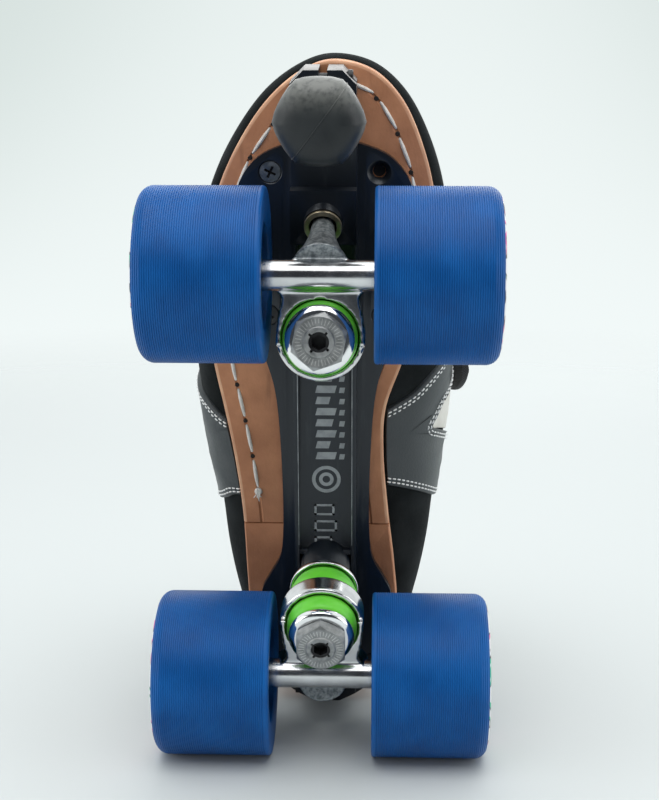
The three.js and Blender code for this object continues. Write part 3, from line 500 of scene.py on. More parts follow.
# brushed black suede with a soft nap
suede = Look("black_suede", Sheen_Weight=0.05, Sheen_Roughness=0.5, Specular_IOR_Level=0.10)
nap = suede.noise(1300, 5, 0.75)
brushed = suede.noise(60, 4, 0.6).between(0.3, 0.7)
napTone = suede.mix(brushed, (0.0035, 0.0055, 0.006), (0.012, 0.015, 0.016))
suede.set(Base_Color=napTone, Roughness=0.88 + 0.1 * nap)
suede.bump(nap, 0.22)

# smooth grey leather with a pebbled grain, and painted shade that darkens it towards the sole
grey = Look("grey_leather", Specular_IOR_Level=0.5)
pebble = grey.cells(1100)
shade = grey.noise(45, 4, 0.6).between(0.3, 0.7)
panelLow = float(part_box("quarter_panel_outer")[0][2])
# painted shade: the leather turns dark slate towards the sole
shadeNearSole = grey.axis(2).between(panelLow + 0.002, panelLow + 0.034)
hideTone = grey.mix(shade, (0.072, 0.084, 0.086), (0.125, 0.140, 0.140))
grey.set(Base_Color=grey.mix(shadeNearSole, (0.022, 0.029, 0.033), hideTone),
         Roughness=0.34 + 0.16 * shade + 0.1 * pebble)
grey.bump(pebble + 0.5 * grey.noise(2500, 3), 0.06)

# woven webbing: crossing ribs
webbing = Look("black_webbing", Sheen_Weight=0.2, Roughness=0.8)
weave = (webbing.axis(0) * 5200).wave() * (webbing.axis(1) * 5200).wave()
webbing.set(Base_Color=webbing.mix(weave.between(-0.5, 0.5), (0.008, 0.009, 0.010), (0.026, 0.028, 0.030)))
webbing.bump(weave, 0.12)
print("materials done")


# camera: its eye and the picture's right and down directions, in millimetres
view = {
    "eye": (190.95, 20.4, -467.4),
    "right": (-0.0031, 0.9994, 0.0337),
    "down": (-0.9451, 0.008, -0.3267),
    "focal": 1460.4,  # in picture heights of 800
}
right, down = Vector(view["right"]).normalized(), Vector(view["down"])
down = (down - right * down.dot(right)).normalized()
camera = bpy.data.objects.new("camera", bpy.data.cameras.new("camera"))
camera.data.lens = 36 * view["focal"] / 800
camera.data.clip_start, camera.data.clip_end = 0.01, 50
turn = Matrix((right, -down, -right.cross(down))).transposed().to_4x4()
camera.matrix_world = Matrix.Translation(Vector(view["eye"]) / 1000) @ turn
scene.collection.objects.link(camera)
scene.camera = camera
scene.view_settings.view_transform = "Standard"


# the skate rests on the backs of its rear wheels and on its heel, on a pale floor that fades out with distance
rest = {"touch": (-124.3, 0, 31), "heel": (-136.4, 0, 110), "reach": 2.6, "fade": (0.45, 1.25)}
touch, heel = Vector(rest["touch"]) / 1000, Vector(rest["heel"]) / 1000
along = (heel - touch).normalized()
normal = along.cross(Vector((0, -1, 0))).normalized()
normal = normal if normal.x > 0 else -normal
wide = rest["reach"]
corners = [touch + along * a + Vector((0, b, 0)) for a, b in rectangle((-wide, -wide), (wide, wide))]
floorMesh = bpy.data.meshes.new("floor")
floorMesh.from_pydata([tuple(c) for c in corners], [], [(0, 1, 2, 3)])
if floorMesh.polygons[0].normal.dot(normal) < 0:
    floorMesh.flip_normals()
floor = bpy.data.objects.new("floor", floorMesh)
scene.collection.objects.link(floor)
pale = Look("pale_floor", Roughness=0.9, Base_Color=(0.55, 0.58, 0.58))
far = {0: pale.place, 1: tuple(touch + along * 0.05)}
away = pale.node("ShaderNodeVectorMath", {"operation": "DISTANCE"}, far, output="Value")
behind = pale.node("ShaderNodeNewGeometry", output="Backfacing")
through = away.between(*rest["fade"]) + behind
mixer = pale.tree.nodes.new("ShaderNodeMixShader")
clear = pale.tree.nodes.new("ShaderNodeBsdfTransparent")
pale.feed(mixer.inputs[0], through)
pale.tree.links.new(pale.shader.outputs[0], mixer.inputs[1])
pale.tree.links.new(clear.outputs[0], mixer.inputs[2])
pale.tree.links.new(mixer.outputs[0], pale.tree.nodes["Material Output"].inputs["Surface"])
floorMesh.materials.append(pale.material)

# a white surround that is dark on the side of the one who looks up from below; the eye sees it pale all round,
# with painted shade making it greyer towards the two corners of one side
world = bpy.data.worlds.new("world")
world.use_nodes = True
scene.world = world
sky = Nodes(world.node_tree, "Background", "Generated")
surround = sky.mix(sky.axis(2).between(-0.80, 0.15), (0.045, 0.050, 0.056), (0.95, 0.99, 0.99))
across = sky.axis(1)
corner = (sky.axis(0) + 0.31) * (across * across * 38 + 1.5)
backdrop = sky.mix(corner.between(0, 1), (0.89, 0.95, 0.945), (0.69, 0.765, 0.745))
seen = sky.node("ShaderNodeLightPath", output="Is Camera Ray")
sky.set(Color=sky.mix(seen, surround, backdrop))


# a lit rectangle at a place, in metres, that faces an aim
def softBox(name, place, aim, size, power):
    light = bpy.data.objects.new(name, bpy.data.lights.new(name, "AREA"))
    light.data.shape, light.data.size, light.data.size_y = "RECTANGLE", *size
    light.data.energy = power
    light.location = place
    light.rotation_euler = (Vector(aim) - Vector(place)).to_track_quat("-Z", "Y").to_euler()
    scene.collection.objects.link(light)


softBox("toe_light", (0.95, 0.0, -0.10), (0, 0, 0.05), (1.0, 1.2), 9.5)
softBox("left_light", (0.25, -0.95, -0.40), (0, 0, 0.05), (0.6, 0.9), 3.5)
softBox("right_light", (0.25, 0.95, -0.30), (0, 0, 0.05), (0.6, 0.9), 2.5)
softBox("upper_light", (0.35, 0.1, 1.1), (0, 0, 0.1), (0.9, 0.9), 4)
print("stage done")


wheel = {
    "radius": 31.2, "half": 22.0, "bore": 19.4, "outerLip": 5.0, "innerLip": 1.3, "shoulderEnd": 0.9,
    "groovePitch": 0.78, "grooveDepth": 0.22, "sides": 112,
    "innerBearing": -15.0, "outerBearing": 4.0, "bearing": 11.0, "bearingWidth": 7.0,
    "nutSeat": 11.3, "nutHeight": 6.5, "nutFlats": 12.7, "axle": 4.0, "out": 41,
}


# tread profile: the outline of the tyre with a row of shallow grooves from its inner lip over its outer
# shoulder; the shoulder is a quarter circle
def tyreProfile():
    w = wheel
    r, half, bore = w["radius"], w["half"], w["bore"]
    start, end = w["innerLip"] - half, half - w["shoulderEnd"]
    count = int((end - start) / w["groovePitch"])
    step = (end - start) / count
    at = start + (np.arange(count)[:, None] + (0.14, 0.62, 0.78, 0.94)) * step
    over = np.clip((at - half + w["outerLip"]) / w["outerLip"], 0, 1)
    radius = r - w["outerLip"] * (1 - np.sqrt(1 - over ** 2)) - np.array((0, 0, 1, 1)) * w["grooveDepth"]
    grooves = np.stack([radius, at], -1).reshape(-1, 2)
    inner = [(bore, 1 - half), (bore + 1, 0.3 - half), (r - 6, -half), (r - 1.5, -half),
             (r - 0.6, 0.15 - half), (r - 0.15, 0.6 - half), (r, 1.1 - half)]
    angle = np.linspace(math.asin(1 - w["shoulderEnd"] / w["outerLip"]) + 0.03, math.radians(86), 7)
    lip = np.stack([r - w["outerLip"] * (1 - np.cos(angle)), half - w["outerLip"] * (1 - np.sin(angle))], 1)
    outer = [(r - 7.4, half - 0.2), (bore + 1, half - 1.2), (bore, half - 2)]
    return np.concatenate([inner, grooves, lip, outer]), len(inner) + len(grooves) + 1


# hub: turned profile whose web is raised by nine ribs, a smooth step of the cosine of nine angles, and thinned
# between them
def hubShape(place):
    w = wheel
    seat, outer = w["bearing"] + 0.15, w["bore"] - 0.15
    rim, web = w["half"] - 3, 14.6
    profile = np.array([
        (seat, -15.5), (seat + 1.6, -15.2), (seat + 2.6, -13), (web, -7.4), (outer - 1.8, -7.0),
        (outer - 1.1, -9), (outer - 0.5, -rim), (outer, -rim), (outer, 0), (outer, rim), (outer - 0.5, rim),
        (outer - 1.1, 6), (outer - 1.8, 3), (web, 3.4), (seat + 2.6, 9), (seat + 1.6, 11.2), (seat, 11.5),
        (seat, 3.7), (seat - 2.4, 3.7), (seat - 2.4, -7.7), (seat, -7.7)])
    sides = 108
    angle = np.arange(sides)[:, None] / sides * tau
    ribs = smoothStep(np.cos(9 * angle), 0.55, 0.85)
    onWeb = np.where((np.abs(profile[:, 0] - 16) < 2.2) & (np.abs(profile[:, 1]) < 8), 1.0, 0.0)
    height = profile[:, 1] - np.sign(profile[:, 1]) * 1.8 * onWeb * (1 - ribs)
    local = np.stack([profile[:, 0] * np.cos(angle), profile[:, 0] * np.sin(angle), height], -1)
    return place(local.reshape(-1, 3)), gridFaces(sides, len(profile), True, True)


# two races with rounded edges and a shield between them
def bearingShape(start, place):
    inner, outer, end = wheel["axle"] + 0.15, wheel["bearing"], start + wheel["bearingWidth"]
    innerRace, outerRace = rectangle((inner, start), (6.0, end)), rectangle((9.3, start), (outer, end))
    shield = [(5.9, start + 0.5), (9.4, start + 0.7), (9.4, end - 0.7), (5.9, end - 0.5)]
    return [(*turned(rounded(innerRace, 0.4), place, 40), 0), (*turned(rounded(outerRace, 0.5), place, 48), 0),
            (*turned(rounded(shield, 0.2), place, 48), 1)]


# hexagonal nut: a hexagon cut by a cone at both ends, with a plain hole
def nutObject(name, flats, low, high, bore, place, turnBy=0.0):
    made = meshObject(name, *prism(hexagon(flats, turnBy), low, high, place))
    face, corner, slope = flats / 2 - 0.1, flats / 2 / math.cos(math.pi / 6) + 0.4, 1.1
    cone = [(tiny, low - 0.01), (face, low - 0.01), (corner, low + slope),
            (corner, high - slope), (face, high + 0.01), (tiny, high + 0.01)]
    carve(made, [turned(cone, place, 72)], "INTERSECT")
    return carve(made, [disc(bore, low - 2, high + 2, place, 40)])


profile, sideFrom = tyreProfile()
for end, x in (("front", halfBase), ("rear", -halfBase)):
    for side, sign in (("inner", 1), ("outer", -1)):
        name = f"wheel_{end}_{side}"
        place = placeBy(np.array(acrossRows, float) * (1, sign, 1), (x, sign * wheel["out"], axleZ))
        points, faces = turned(profile, place, wheel["sides"])
        column = np.arange(len(faces)) % len(profile)
        which = np.where((column >= sideFrom) & (column < len(profile) - 1), 1, 0)
        tyre = meshObject(f"{name}_tread", points, faces, (blue, rim), which)
        settle(tyre, name, [f"{name}_tyre"], sharp=50)
        piece(f"{name}_core", [hubShape(place)], (core,), name, [f"{name}_hub"])
        for label in ("inner", "outer"):
            ring = bearingShape(wheel[f"{label}Bearing"], place)
            piece(f"{name}_race_{label}", ring, (steel, seal), name,
                  [f"{name}_bearing_{label}"])
        seat = wheel["nutSeat"]
        nut = nutObject(f"{name}_lock_nut", wheel["nutFlats"], seat, seat + wheel["nutHeight"], 4.15, place)
        settle(nut, f"truck_{end}", [f"{name}_nut"], (zinc,), 30)
print("wheels done")


truck = {
    "tilt": math.radians(10), "nutInset": 19.5, "nutZ": axleZ - 17, "pin": 4.6, "nutFlats": 18.0,
         "nutHeight": 5.0,
    "retainer": 3.5, "lower": 9.0, "upper": 14.5, "cushion": 13.4, "yoke": 16.0, "yokeHeight": 9.0, "cup": 3.0,
    "tube": 5.6, "tubeHalf": 25.7, "pivotTip": (14.6, axleZ + 32), "pivotRoot": (2.5, axleZ + 3), "gap": 0.3,
}
t = truck
retainerAt = t["nutHeight"] + t["gap"]
lowerAt = retainerAt + t["retainer"] + t["gap"]
yokeAt = lowerAt + t["lower"] + t["gap"] - t["cup"]
upperAt = yokeAt + t["yokeHeight"] - t["cup"] + t["gap"]
topRetainerAt = upperAt + t["upper"] + t["gap"]
pinEnd = (plateTopZ - t["nutZ"]) / math.cos(t["tilt"]) - 3
pivotSpan = np.array(t["pivotTip"]) - np.array(t["pivotRoot"])
pivotAngle = math.atan2(pivotSpan[0], pivotSpan[1])
pivotLength = float(np.linalg.norm(pivotSpan))


# a place on a truck: the rear one is the front one turned by half a turn
def truckPlace(local, end):
    turnRows = np.diag((end, end, 1))
    return lambda points: local(points) @ turnRows + (end * halfBase, 0, 0)


# places along the kingpin and along the pivot arm
def pinPlace(end):
    return truckPlace(tilted(-t["tilt"], (-t["nutInset"], 0, t["nutZ"])), end)


def armPlace(end):
    return truckPlace(tilted(pivotAngle, (t["pivotRoot"][0], 0, t["pivotRoot"][1])), end)


# cushion: a cylinder whose wall swells by 1.3 over its middle third
def barrel(start, height):
    r, inner = t["cushion"], t["pin"] + 0.15
    shape = [(inner, 0), (r - 1.3, 0), (r, 0.32), (r, 0.68), (r - 1.3, 1), (inner, 1)]
    return rounded([(x, start + share * height) for x, share in shape], 1.6, 6)


# a pressed cup: flat base with a rolled rim
def cupped(radius, start, rimUp):
    inner, h = t["pin"] + 0.15, t["retainer"]
    shape = [(inner, 0), (radius - 2.2, 0), (radius - 0.4, 0.9), (radius, 2.0), (radius, h),
             (radius - 0.9, h), (radius - 1.6, h - 0.6), (inner, h - 0.6)]
    shape = [(r, start + (z if rimUp else h - z)) for r, z in shape]
    return rounded(shape, 0.7, 5)


# hanger: the axle's tube, a round yoke with a web and the tapering pivot arm, joined and then skinned as a
# casting
def makeHanger(name, sign):
    pin, arm, tube = pinPlace(sign), armPlace(sign), truckPlace(placeBy(acrossRows, (0, 0, axleZ)), sign)
    y, top = t["yoke"], yokeAt + t["yokeHeight"]
    ring = rounded(rectangle((tiny, yokeAt), (y, top)), 1.2, 5)
    half = [(-3, y), (0.5 * y, 0.94 * y), (0.9 * y, 0.88 * y), (1.15 * y, 1.06 * y), (1.38 * y, 1.12 * y)]
    webLine = mirrorLine(curveThrough(half, np.linspace(0, 1, 24)))
    web = prism(webLine, yokeAt - 3, top - 3, pin)
    tip = pivotLength
    limb = [(tiny, -1), (10.4, -1), (9.2, 2.5), (8.0, 5), (6.8, 9), (5.6, 13.5), (4.7, 19), (4, tip - 6),
            (4, tip), (2.4, tip + 2.2), (tiny, tip + 2.8)]
    span, bar = t["tubeHalf"], t["tube"]
    shaft = [(tiny, -span), (bar - 0.6, -span), (bar, 0.6 - span), (bar, span - 0.6), (bar - 0.6, span),
             (tiny, span)]
    hanger = meshObject(f"{name}_casting", *turned(shaft, tube, 56))
    carve(hanger, [turned(ring, pin, 88), web, turned(limb, arm, 48)], "UNION")
    cup, hole = t["cushion"] + 0.4, 7.4
    hollows = ((cup, yokeAt - 20, yokeAt + t["cup"]), (cup, top - t["cup"], top + 20),
               (hole, yokeAt - 1, top + 1))
    carve(hanger, [disc(*hollow, pin, 80) for hollow in hollows])
    remesh = hanger.modifiers.new("skin", "REMESH")
    remesh.mode, remesh.voxel_size = "VOXEL", 0.00052
    smooth = hanger.modifiers.new("smooth", "SMOOTH")
    smooth.factor, smooth.iterations = 0.5, 5
    applied(hanger)
    settle(hanger, name, [f"{name}_hanger"], (cast, pitted), 60)
    middles = faceMiddles(hanger, (sign * halfBase, 0, axleZ)) * (sign, 1, 1)
    chooseLooks(hanger, (middles[:, 0] > 1.0) & (middles[:, 2] > 4.2) | (middles[:, 0] > 5.7))
    axleEnd = 60.0
    rod = rounded(rectangle((tiny, -axleEnd), (3.95, axleEnd)), 0.7, 4)
    piece(f"{name}_rod", [turned(rod, tube, 40)], (zinc,), name, [f"{name}_axle"])


# adjusting nut: a raised ring with four slots, and forty ticks round its face of which every third is shorter
def makeKingpinNut(name, pin, turnBy):
    body = name.replace("truck", "kingpin_nut")
    nut = nutObject(f"{name}_hex_nut", t["nutFlats"], 0, t["nutHeight"], t["pin"] + 0.15, pin, turnBy)
    lip = rounded([(3.6, -0.5), (5.3, -0.5), (5.7, 0.15), (3.6, 0.15)], 0.22)
    carve(nut, [turned(lip, pin, 56)], "UNION")
    slot = rectangle((3.2, -0.45), (4.5, 0.45))
    slots = [prism(slot, -0.8, 0.4, spun(pin, k * tau / 4 + math.radians(40))) for k in range(4)]
    carve(nut, [together(*slots)[:2]])
    ticks = []
    for k in range(40):
        start = 6.1 + 0.5 * (k % 3 == 0)
        ticks.append(prism(rectangle((start, -0.13), (8.3, 0.13)), -0.07, 0.05, spun(pin, k * tau / 40)))
    settle(nut, body, [f"{name}_kingpin_nut"], (nutFace,), 25)
    piece(f"{name}_nut_ticks", ticks, (tickSteel,), body)


# retainers and cushions in a stack on the kingpin
def makeStack(name, pin):
    for label, shape, look, slot in (
            ("retainer_lower", cupped(t["cushion"] - 1, retainerAt, True), chrome, "polished_alloy"),
            ("cushion_lower", barrel(lowerAt, t["lower"]), green, "cushion_urethane"),
            ("cushion_upper", barrel(upperAt, t["upper"]), green, "cushion_urethane"),
            ("retainer_upper", cupped(t["cushion"], topRetainerAt, False), chrome, "polished_alloy")):
        node = f"{name}_{label}"
        made = piece(f"{node}_turned", [turned(shape, pin, 72)], (look,), bodyOf(node), [node], 45)
        if look is green:  # the soft ring is taken off its body and its place is baked into its points; the ends worked out here are not used
            heights = (shape[:, 1].min() + 1, shape[:, 1].max() - 1)
            low, high = ((pin(np.array([(0.0, 0.0, z)]))[0] + shift) / 1000 for z in heights)
            ends = (low, high) if label == "cushion_lower" else (high, low)
            made.parent = None
            del made["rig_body"]
            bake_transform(made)


def bodyOf(node):
    return frame["nodes"][node]["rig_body"]


def makeTruck(end, sign):
    name = f"truck_{end}"
    pin = pinPlace(sign)
    makeHanger(name, sign)
    makeKingpinNut(name, pin, math.pi / 6 * (0.35 if end == "front" else 0.0))
    r = t["pin"] - 0.1
    bolt = rounded([(tiny, 0.3), (r - 0.8, 0.0), (r, 0.8), (r, pinEnd), (tiny, pinEnd)], 0.3)
    pinBolt = meshObject(f"{name}_pin", *turned(bolt, pin, 48))
    carve(pinBolt, [prism(hexagon(5), -1, 3.6, pin)])
    pinBody = "chassis" if bodyOf(f"{name}_kingpin") == "chassis" else name
    settle(pinBolt, pinBody, [f"{name}_kingpin"], (blackOxide,), 30)
    makeStack(name, pin)
    low = pivotLength - 8.1
    cup = [(5.0, low), (7.0, low), (7.0, low + 1.3), (6, low + 1.4), (6, pivotLength), (5.0, pivotLength)]
    node = f"{name}_pivot_cup"
    piece(f"{name}_brass_cup", [turned(rounded(cup, 0.4, 5), armPlace(sign), 56)], (brassy,), bodyOf(node),
          [node])


makeTruck("front", 1)
makeTruck("rear", -1)
print("trucks done")


plate = {
    "flange": 4.0, "spineHalf": 12.2, "spineZ": plateTopZ - 12.7, "rail": 2.0, "channel": 2.5, "bevel": 0.45,
    "rear": [(-38, 5), (-33.5, 13), (-24, 23), (-11, 27), (13, 26.5), (20.5, 23), (28, 19), (37, 17.6)],
    "front": [(-84, 17.8), (-57, 20), (-43, 24), (-23, 31), (6, 34), (24, 32.3), (33.8, 25), (38.5, 15),
              (40.5, 5)],
    "stem": 54.0, "stemRadius": 7.9, "collarHalf": 12.0, "collarFront": 13.5, "collarHeight": 19.7, "slot": 3.2,
}
stemX = halfBase + plate["stem"]
screwPlaces = {f"screw_{name}": (middleOf(f"screw_{name}") - shift)[:2] for name in
               ("front_outer", "middle_outer", "middle_inner", "rear_outer", "rear_inner")}
emptyHole = screwPlaces["screw_front_outer"] * (1, -1)


# a block along the axes
def boxShape(low, high):
    return prism(rectangle(low, high), low[2], high[2], upright)


# plate: two flanges, a spine with pockets, bosses for kingpins and pivots, and the clamp round the stem
def makePlate():
    p = plate
    rail, inside, floorZ = p["spineHalf"], p["spineHalf"] - p["rail"], p["spineZ"] + p["channel"]
    under, low = plateTopZ - p["flange"], plateTopZ - p["collarHeight"]
    half = np.concatenate([np.array(p["rear"]) - (halfBase, 0), np.array(p["front"]) + (halfBase, 0)])
    line = curveThrough(half, np.linspace(0, 1, 110))
    made = meshObject("plate_cast", *prism(mirrorLine(line), under, plateTopZ, upright))
    spine = boxShape((-halfBase - 29, -rail, p["spineZ"]), (halfBase + 43, rail, plateTopZ - 1))
    h, front, back = p["collarHalf"], stemX + p["collarFront"], stemX - p["collarFront"]
    collarLine = [(back, -h), (front - 5, -h), (front, 5 - h), (front, h - 5), (front - 5, h), (back, h)]
    carve(made, [spine, prism(collarLine, low, plateTopZ, upright)], "UNION")
    pockets = ((36 - halfBase, halfBase - 19, floorZ), (halfBase - 17, halfBase + 24, floorZ + 3),
               (-halfBase - 24, 34 - halfBase, floorZ + 3))
    carve(made, [boxShape((a, -inside, p["spineZ"] - 3), (b, inside, z)) for a, b, z in pockets])
    bosses, bores = [], []
    for sign in (1, -1):
        pin, arm = pinPlace(sign), armPlace(sign)
        tip, seat = pivotLength, topRetainerAt + t["retainer"] + t["gap"]
        bossEnd = tip + (plateTopZ - t["pivotTip"][1]) / math.cos(pivotAngle) - 4
        x = sorted(sign * (halfBase + t["pivotTip"][0] + k) for k in (-10, 10))
        bosses += [disc(10, seat, pinEnd - 2, pin, 72), disc(7.2, tip - 6.5, bossEnd, arm, 64),
                   boxShape((x[0], -rail, t["pivotTip"][1] - 5), (x[1], rail, plateTopZ - 1))]
        bores += [disc(4.75, seat - 1, pinEnd + 0.3, pin, 40), disc(6.15, tip - 12, tip + 3.4, arm, 48)]
    carve(made, bosses, "UNION")
    sink = [(tiny, under - 0.02), (4.55, under - 0.02), (2.55, under + 2), (2.55, plateTopZ + 1),
            (tiny, plateTopZ + 1)]
    bores += [turned(sink, movedTo(x, y), 40) for x, y in [*screwPlaces.values(), emptyHole]]
    bores.append(disc(p["stemRadius"] + 0.15, low - 1, plateTopZ + 1, movedTo(stemX, 0), 64))
    bores.append(boxShape((stemX, -p["slot"] / 2, low - 1), (stemX + 20, p["slot"] / 2, plateTopZ + 1)))
    bores += [disc(r, a, 21, clampPlace, 40) for r, a in ((2.85, h - 3.6), (1.65, -20))]
    carve(made, bores)
    softened(made, p["bevel"], 2)

    # lighter grey metal on the front faces of the clamp, and worn light lines along the rails
    facing = np.zeros(3 * len(made.data.polygons))
    made.data.polygons.foreach_get("normal", facing)
    middle, facing = faceMiddles(made), facing.reshape(-1, 3)
    clampFace = (facing[:, 0] > 0.4) & (middle[:, 0] > front - 6) & (middle[:, 2] < under)
    clampFace &= np.abs(facing[:, 2]) < 0.5
    railEdge = (np.abs(facing[:, 2] + 0.7) < 0.27) & (middle[:, 2] < p["spineZ"] + 1)
    railEdge &= np.abs(np.abs(middle[:, 1]) - rail) < 3
    settle(made, "chassis", ["plate"], (anodised, clampMetal, wornEdge), 28)
    chooseLooks(made, np.where(clampFace, 1, np.where(railEdge, 2, 0)))
    y = inside + 0.35
    worn = [boxShape((38 - halfBase, at - 0.14, p["spineZ"] - 0.05),
                     (halfBase - 22, at + 0.14, p["spineZ"] + 0.2))
            for at in (-y, y)]
    piece("rail_worn_lines", worn, (wornEdge,), "chassis")
    channelPrint(floorZ - 0.06)


# generic print on the channel floor: slanted bars, three outlined boxes and two rings
def channelPrint(z):
    outlines = []
    for k in range(9):
        x, long = -5 + 4.6 * k, (7.6, 5.2, 7.6, 6.4)[k % 4]
        outlines.append([(x, -3.8), (x + 3, -3.0), (x + 3, long - 3.0), (x, long - 3.8)])
        outlines.append([(x, 5.4), (x + 2.2, 5.8), (x + 2.2, 7.8), (x, 7.4)])
    for x, long in ((-43, 7), (-36, 9), (-29, 8)):
        ends = ((0, 0, 0.9, long), (3.9, 0, 4.8, long), (0, 0, 4.8, 0.9), (0, long - 0.9, 4.8, long))
        outlines += [rectangle((x + a, b - 4.4), (x + c, d - 4.4)) for a, b, c, d in ends]
    bars = [prism(outline, z, z + 0.1, upright) for outline in outlines]
    for inner, outer in ((4.3, 5.7), (1.5, 2.9)):
        bars.append(turned(rectangle((inner, z), (outer, z + 0.1)), movedTo(-13.5, 0.4), 48))
    piece("channel_print", bars, (paint,), "chassis")


clampPlace = placeBy(acrossRows, (stemX + plate["collarFront"] - 3.2, 0, plateTopZ - plate["collarHeight"] + 7))
makePlate()

# countersunk screws with cross recesses, painted dark as shade inside; the front one is lighter
for name, (x, y) in screwPlaces.items():
    local = movedTo(x, y)
    under = plateTopZ - plate["flange"] + 0.1
    shape = [(tiny, under - 0.1), (1.6, under - 0.1), (3.9, under + 0.05), (4.1, under + 0.35),
             (2.4, under + 1.8), (2.4, plateTopZ), (tiny, plateTopZ)]
    made = meshObject(f"{name}_cross", *turned(shape, local, 48))
    slot = rectangle((-2.3, -0.45), (2.3, 0.45))
    slots = [prism(slot, under - 1.2, under + 1.1, spun(local, turnBy)) for turnBy in (0.45, 0.45 + tau / 4)]
    carve(made, slots)
    looks = (gunmetal if "front" in name else blackOxide, holeShade)
    settle(made, "chassis", [name], looks, 30)
    at = faceMiddles(made, (x, y, 0))
    # painted shade: the faces inside the cross recess take the dark hole colour
    recess = (at[:, 2] > under + 0.2) & (at[:, 2] < under + 1.3) & (np.hypot(at[:, 0], at[:, 1]) < 2.2)
    chooseLooks(made, recess)
print("plate done")


# toe stop: its seam stands at an angle round the stem and ends at a share of the dome's profile
stop = {
    "low": 19.0, "height": 27.0, "halfWidth": 16.2, "halfLength": 15.0, "sides": 120, "rows": 46,
    "seam": 0.643, "seamShare": 0.62, "stem": 7.9,
    "profile": [(0, -0.055), (0.3, -0.05), (0.56, -0.03), (0.78, 0.02), (0.92, 0.11), (0.99, 0.24), (1.0, 0.36),
                (0.96, 0.52), (0.87, 0.7), (0.79, 0.86), (0.71, 0.97), (0.62, 1.0), (0.0, 1.0)],
}


# a point of the stop: the profile gives a scale and a height at each share, and the scale is drawn out into a
# softened hexagon that fades into a circle towards the middle of the face
def stopPoint(angle, share):
    sixth = math.pi / 6
    folded = np.mod(angle, 2 * sixth) - sixth
    hexed = math.cos(sixth) / np.cos(folded) - 0.035 * smoothStep(np.abs(folded) / sixth, 0.55, 1.0)
    r = 0.65 * hexed + 0.35 + 0.012
    across = curveThrough(stop["profile"], share)
    scale, height = across[..., 0], across[..., 1]
    shape = np.where(scale < 0.6, 1 + (r - 1) * smoothStep(scale, 0, 0.6), r)
    x = stemX - np.sin(angle) * shape * scale * stop["halfLength"] * 1.08
    y = np.cos(angle) * shape * scale * stop["halfWidth"]
    return np.stack([x, y, stop["low"] + height * stop["height"] + 0 * angle], -1)


def makeStop():
    low, sides, rows, r = stop["low"], stop["sides"], stop["rows"], stop["stem"]
    angle, share = np.meshgrid(np.arange(sides) / sides * tau, np.linspace(0, 1, rows), indexing="ij")
    dome = (stopPoint(angle, share).reshape(-1, 3), gridFaces(sides, rows, True, False))
    inwards = np.linspace(stop["seamShare"], 0.0, 30)
    ends = [stopPoint(np.full(30, stop["seam"] + quarter), inwards) for quarter in (-tau / 4, tau / 4)]
    seam = np.concatenate([ends[0], ends[1][::-1][1:]]) - (0, 0, 0.02)
    parts = [dome, tubeAlong(seam, np.full(len(seam), 0.24), 8)]
    piece("toe_stop_moulded", parts, (rubber,), "toe_stop", ["toe_stop"], 40)
    top, end = low + stop["height"], plateTopZ - 9
    ridges = [point for z in np.arange(top + 3.2, end - 0.4, 0.75) for point in ((r, z), (7.35, z + 0.37))]
    shape = [(tiny, low + 8.3), (5.9, low + 8.3), (5.9, top + 0.3), (10.5, top + 0.3), (10.5, top + 2.6),
             (r, top + 2.6), *ridges, (r, end), (tiny, end)]
    stem = [turned(shape, movedTo(stemX, 0), 48)]
    piece("toe_stop_thread", stem, (zinc,), "toe_stop", ["toe_stop_stem"], 40)


makeStop()
reach = plate["collarHalf"] - 3.6
boltShape = [(tiny, -reach), (1.5, -reach), (1.5, reach + 0.3), (2.4, reach + 0.3), (2.7, reach + 0.7),
             (2.7, reach + 2.1), (2.3, reach + 2.4), (tiny, reach + 2.4)]
bolt = meshObject("clamp_screw", *turned(boltShape, clampPlace, 40))
carve(bolt, [prism(hexagon(2.5), reach + 1.0, reach + 4, clampPlace)])
settle(bolt, "chassis", ["toe_stop_clamp_bolt"], (blackOxide,), 30)
print("toe stop done")


# boot stations from heel to toe: x, sole edge on the outer and inner side, top line (x, half width, height over
# the sole's underside), then [out, up] of the wall's two inner control points; arch is the inner side's lower
# one
stations = [
    (-118, -1.5, -1.5, (-113, 0, 99), (7, 18), (7, 18), (6, -30)),
    (-112, -17, 14, (-108, 17, 96), (9, 14), (9, 14), (6, -28)),
    (-98, -27.5, 24.5, (-93, 28, 90), (12, 12), (12, 12), (6, -26)),
    (-80, -31.5, 29, (-72, 32.5, 84), (14, 10), (14, 10), (6, -24)),
    (-60, -32.8, 28, (-50, 32, 82), (19, 10), (24, 16), (8, -26)),
    (-33, -34, 25, (-27, 27, 88), (22, 12), (34, 20), (16, -30)),
    (-8, -37, 23, (-8, 17, 100), (24, 14), (42, 26), (34, -34)),
    (12, -40.5, 23.6, (12, 14, 90), (23, 14), (44, 26), (37, -30)),
    (31, -44.2, 29.8, (32, 13, 79), (20, 13), (34, 20), (38, -24)),
    (51, -46.6, 36.5, (52, 11.5, 68), (15, 10), (22, 12), (38, -16)),
    (72, -46.6, 41, (69, 7.5, 58.5), (13, 8), (13, 8), (38, -10)),
    (93, -43, 42, (78, 0, 53.5), (13, 7), (13, 7), (40, -4)),
    (115, -34, 37.2, (93, 0, 47), (12, 8), (12, 8), (34, -1)),
    (134, -21, 28.5, (106, 0, 42), (10, 8), (10, 8), (27, 0)),
    (144.5, -8, 17.5, (115, 0, 39), (8, 8), (8, 8), (22, 0)),
    (148, 3, 3, (120, 0, 37), (6, 8), (6, 8), (21, 0.5)),
]
boot = {
    "gap": 0.3, "sole": 5.0, "heelRise": 10.0, "waistX": 25.0, "heelX": -118.0, "liftX": -37.0,
    "wall": 3.2, "floor": 3.0, "panel": 1.3, "ridge": 11, "lean": 2.2, "throat": 0.6,
}


# how far the sole is raised towards the heel: a smooth step from the waist back
def rise(x):
    return boot["heelRise"] * smoothStep(boot["waistX"] - np.asarray(x, float), 0,
                                         boot["waistX"] - boot["heelX"])


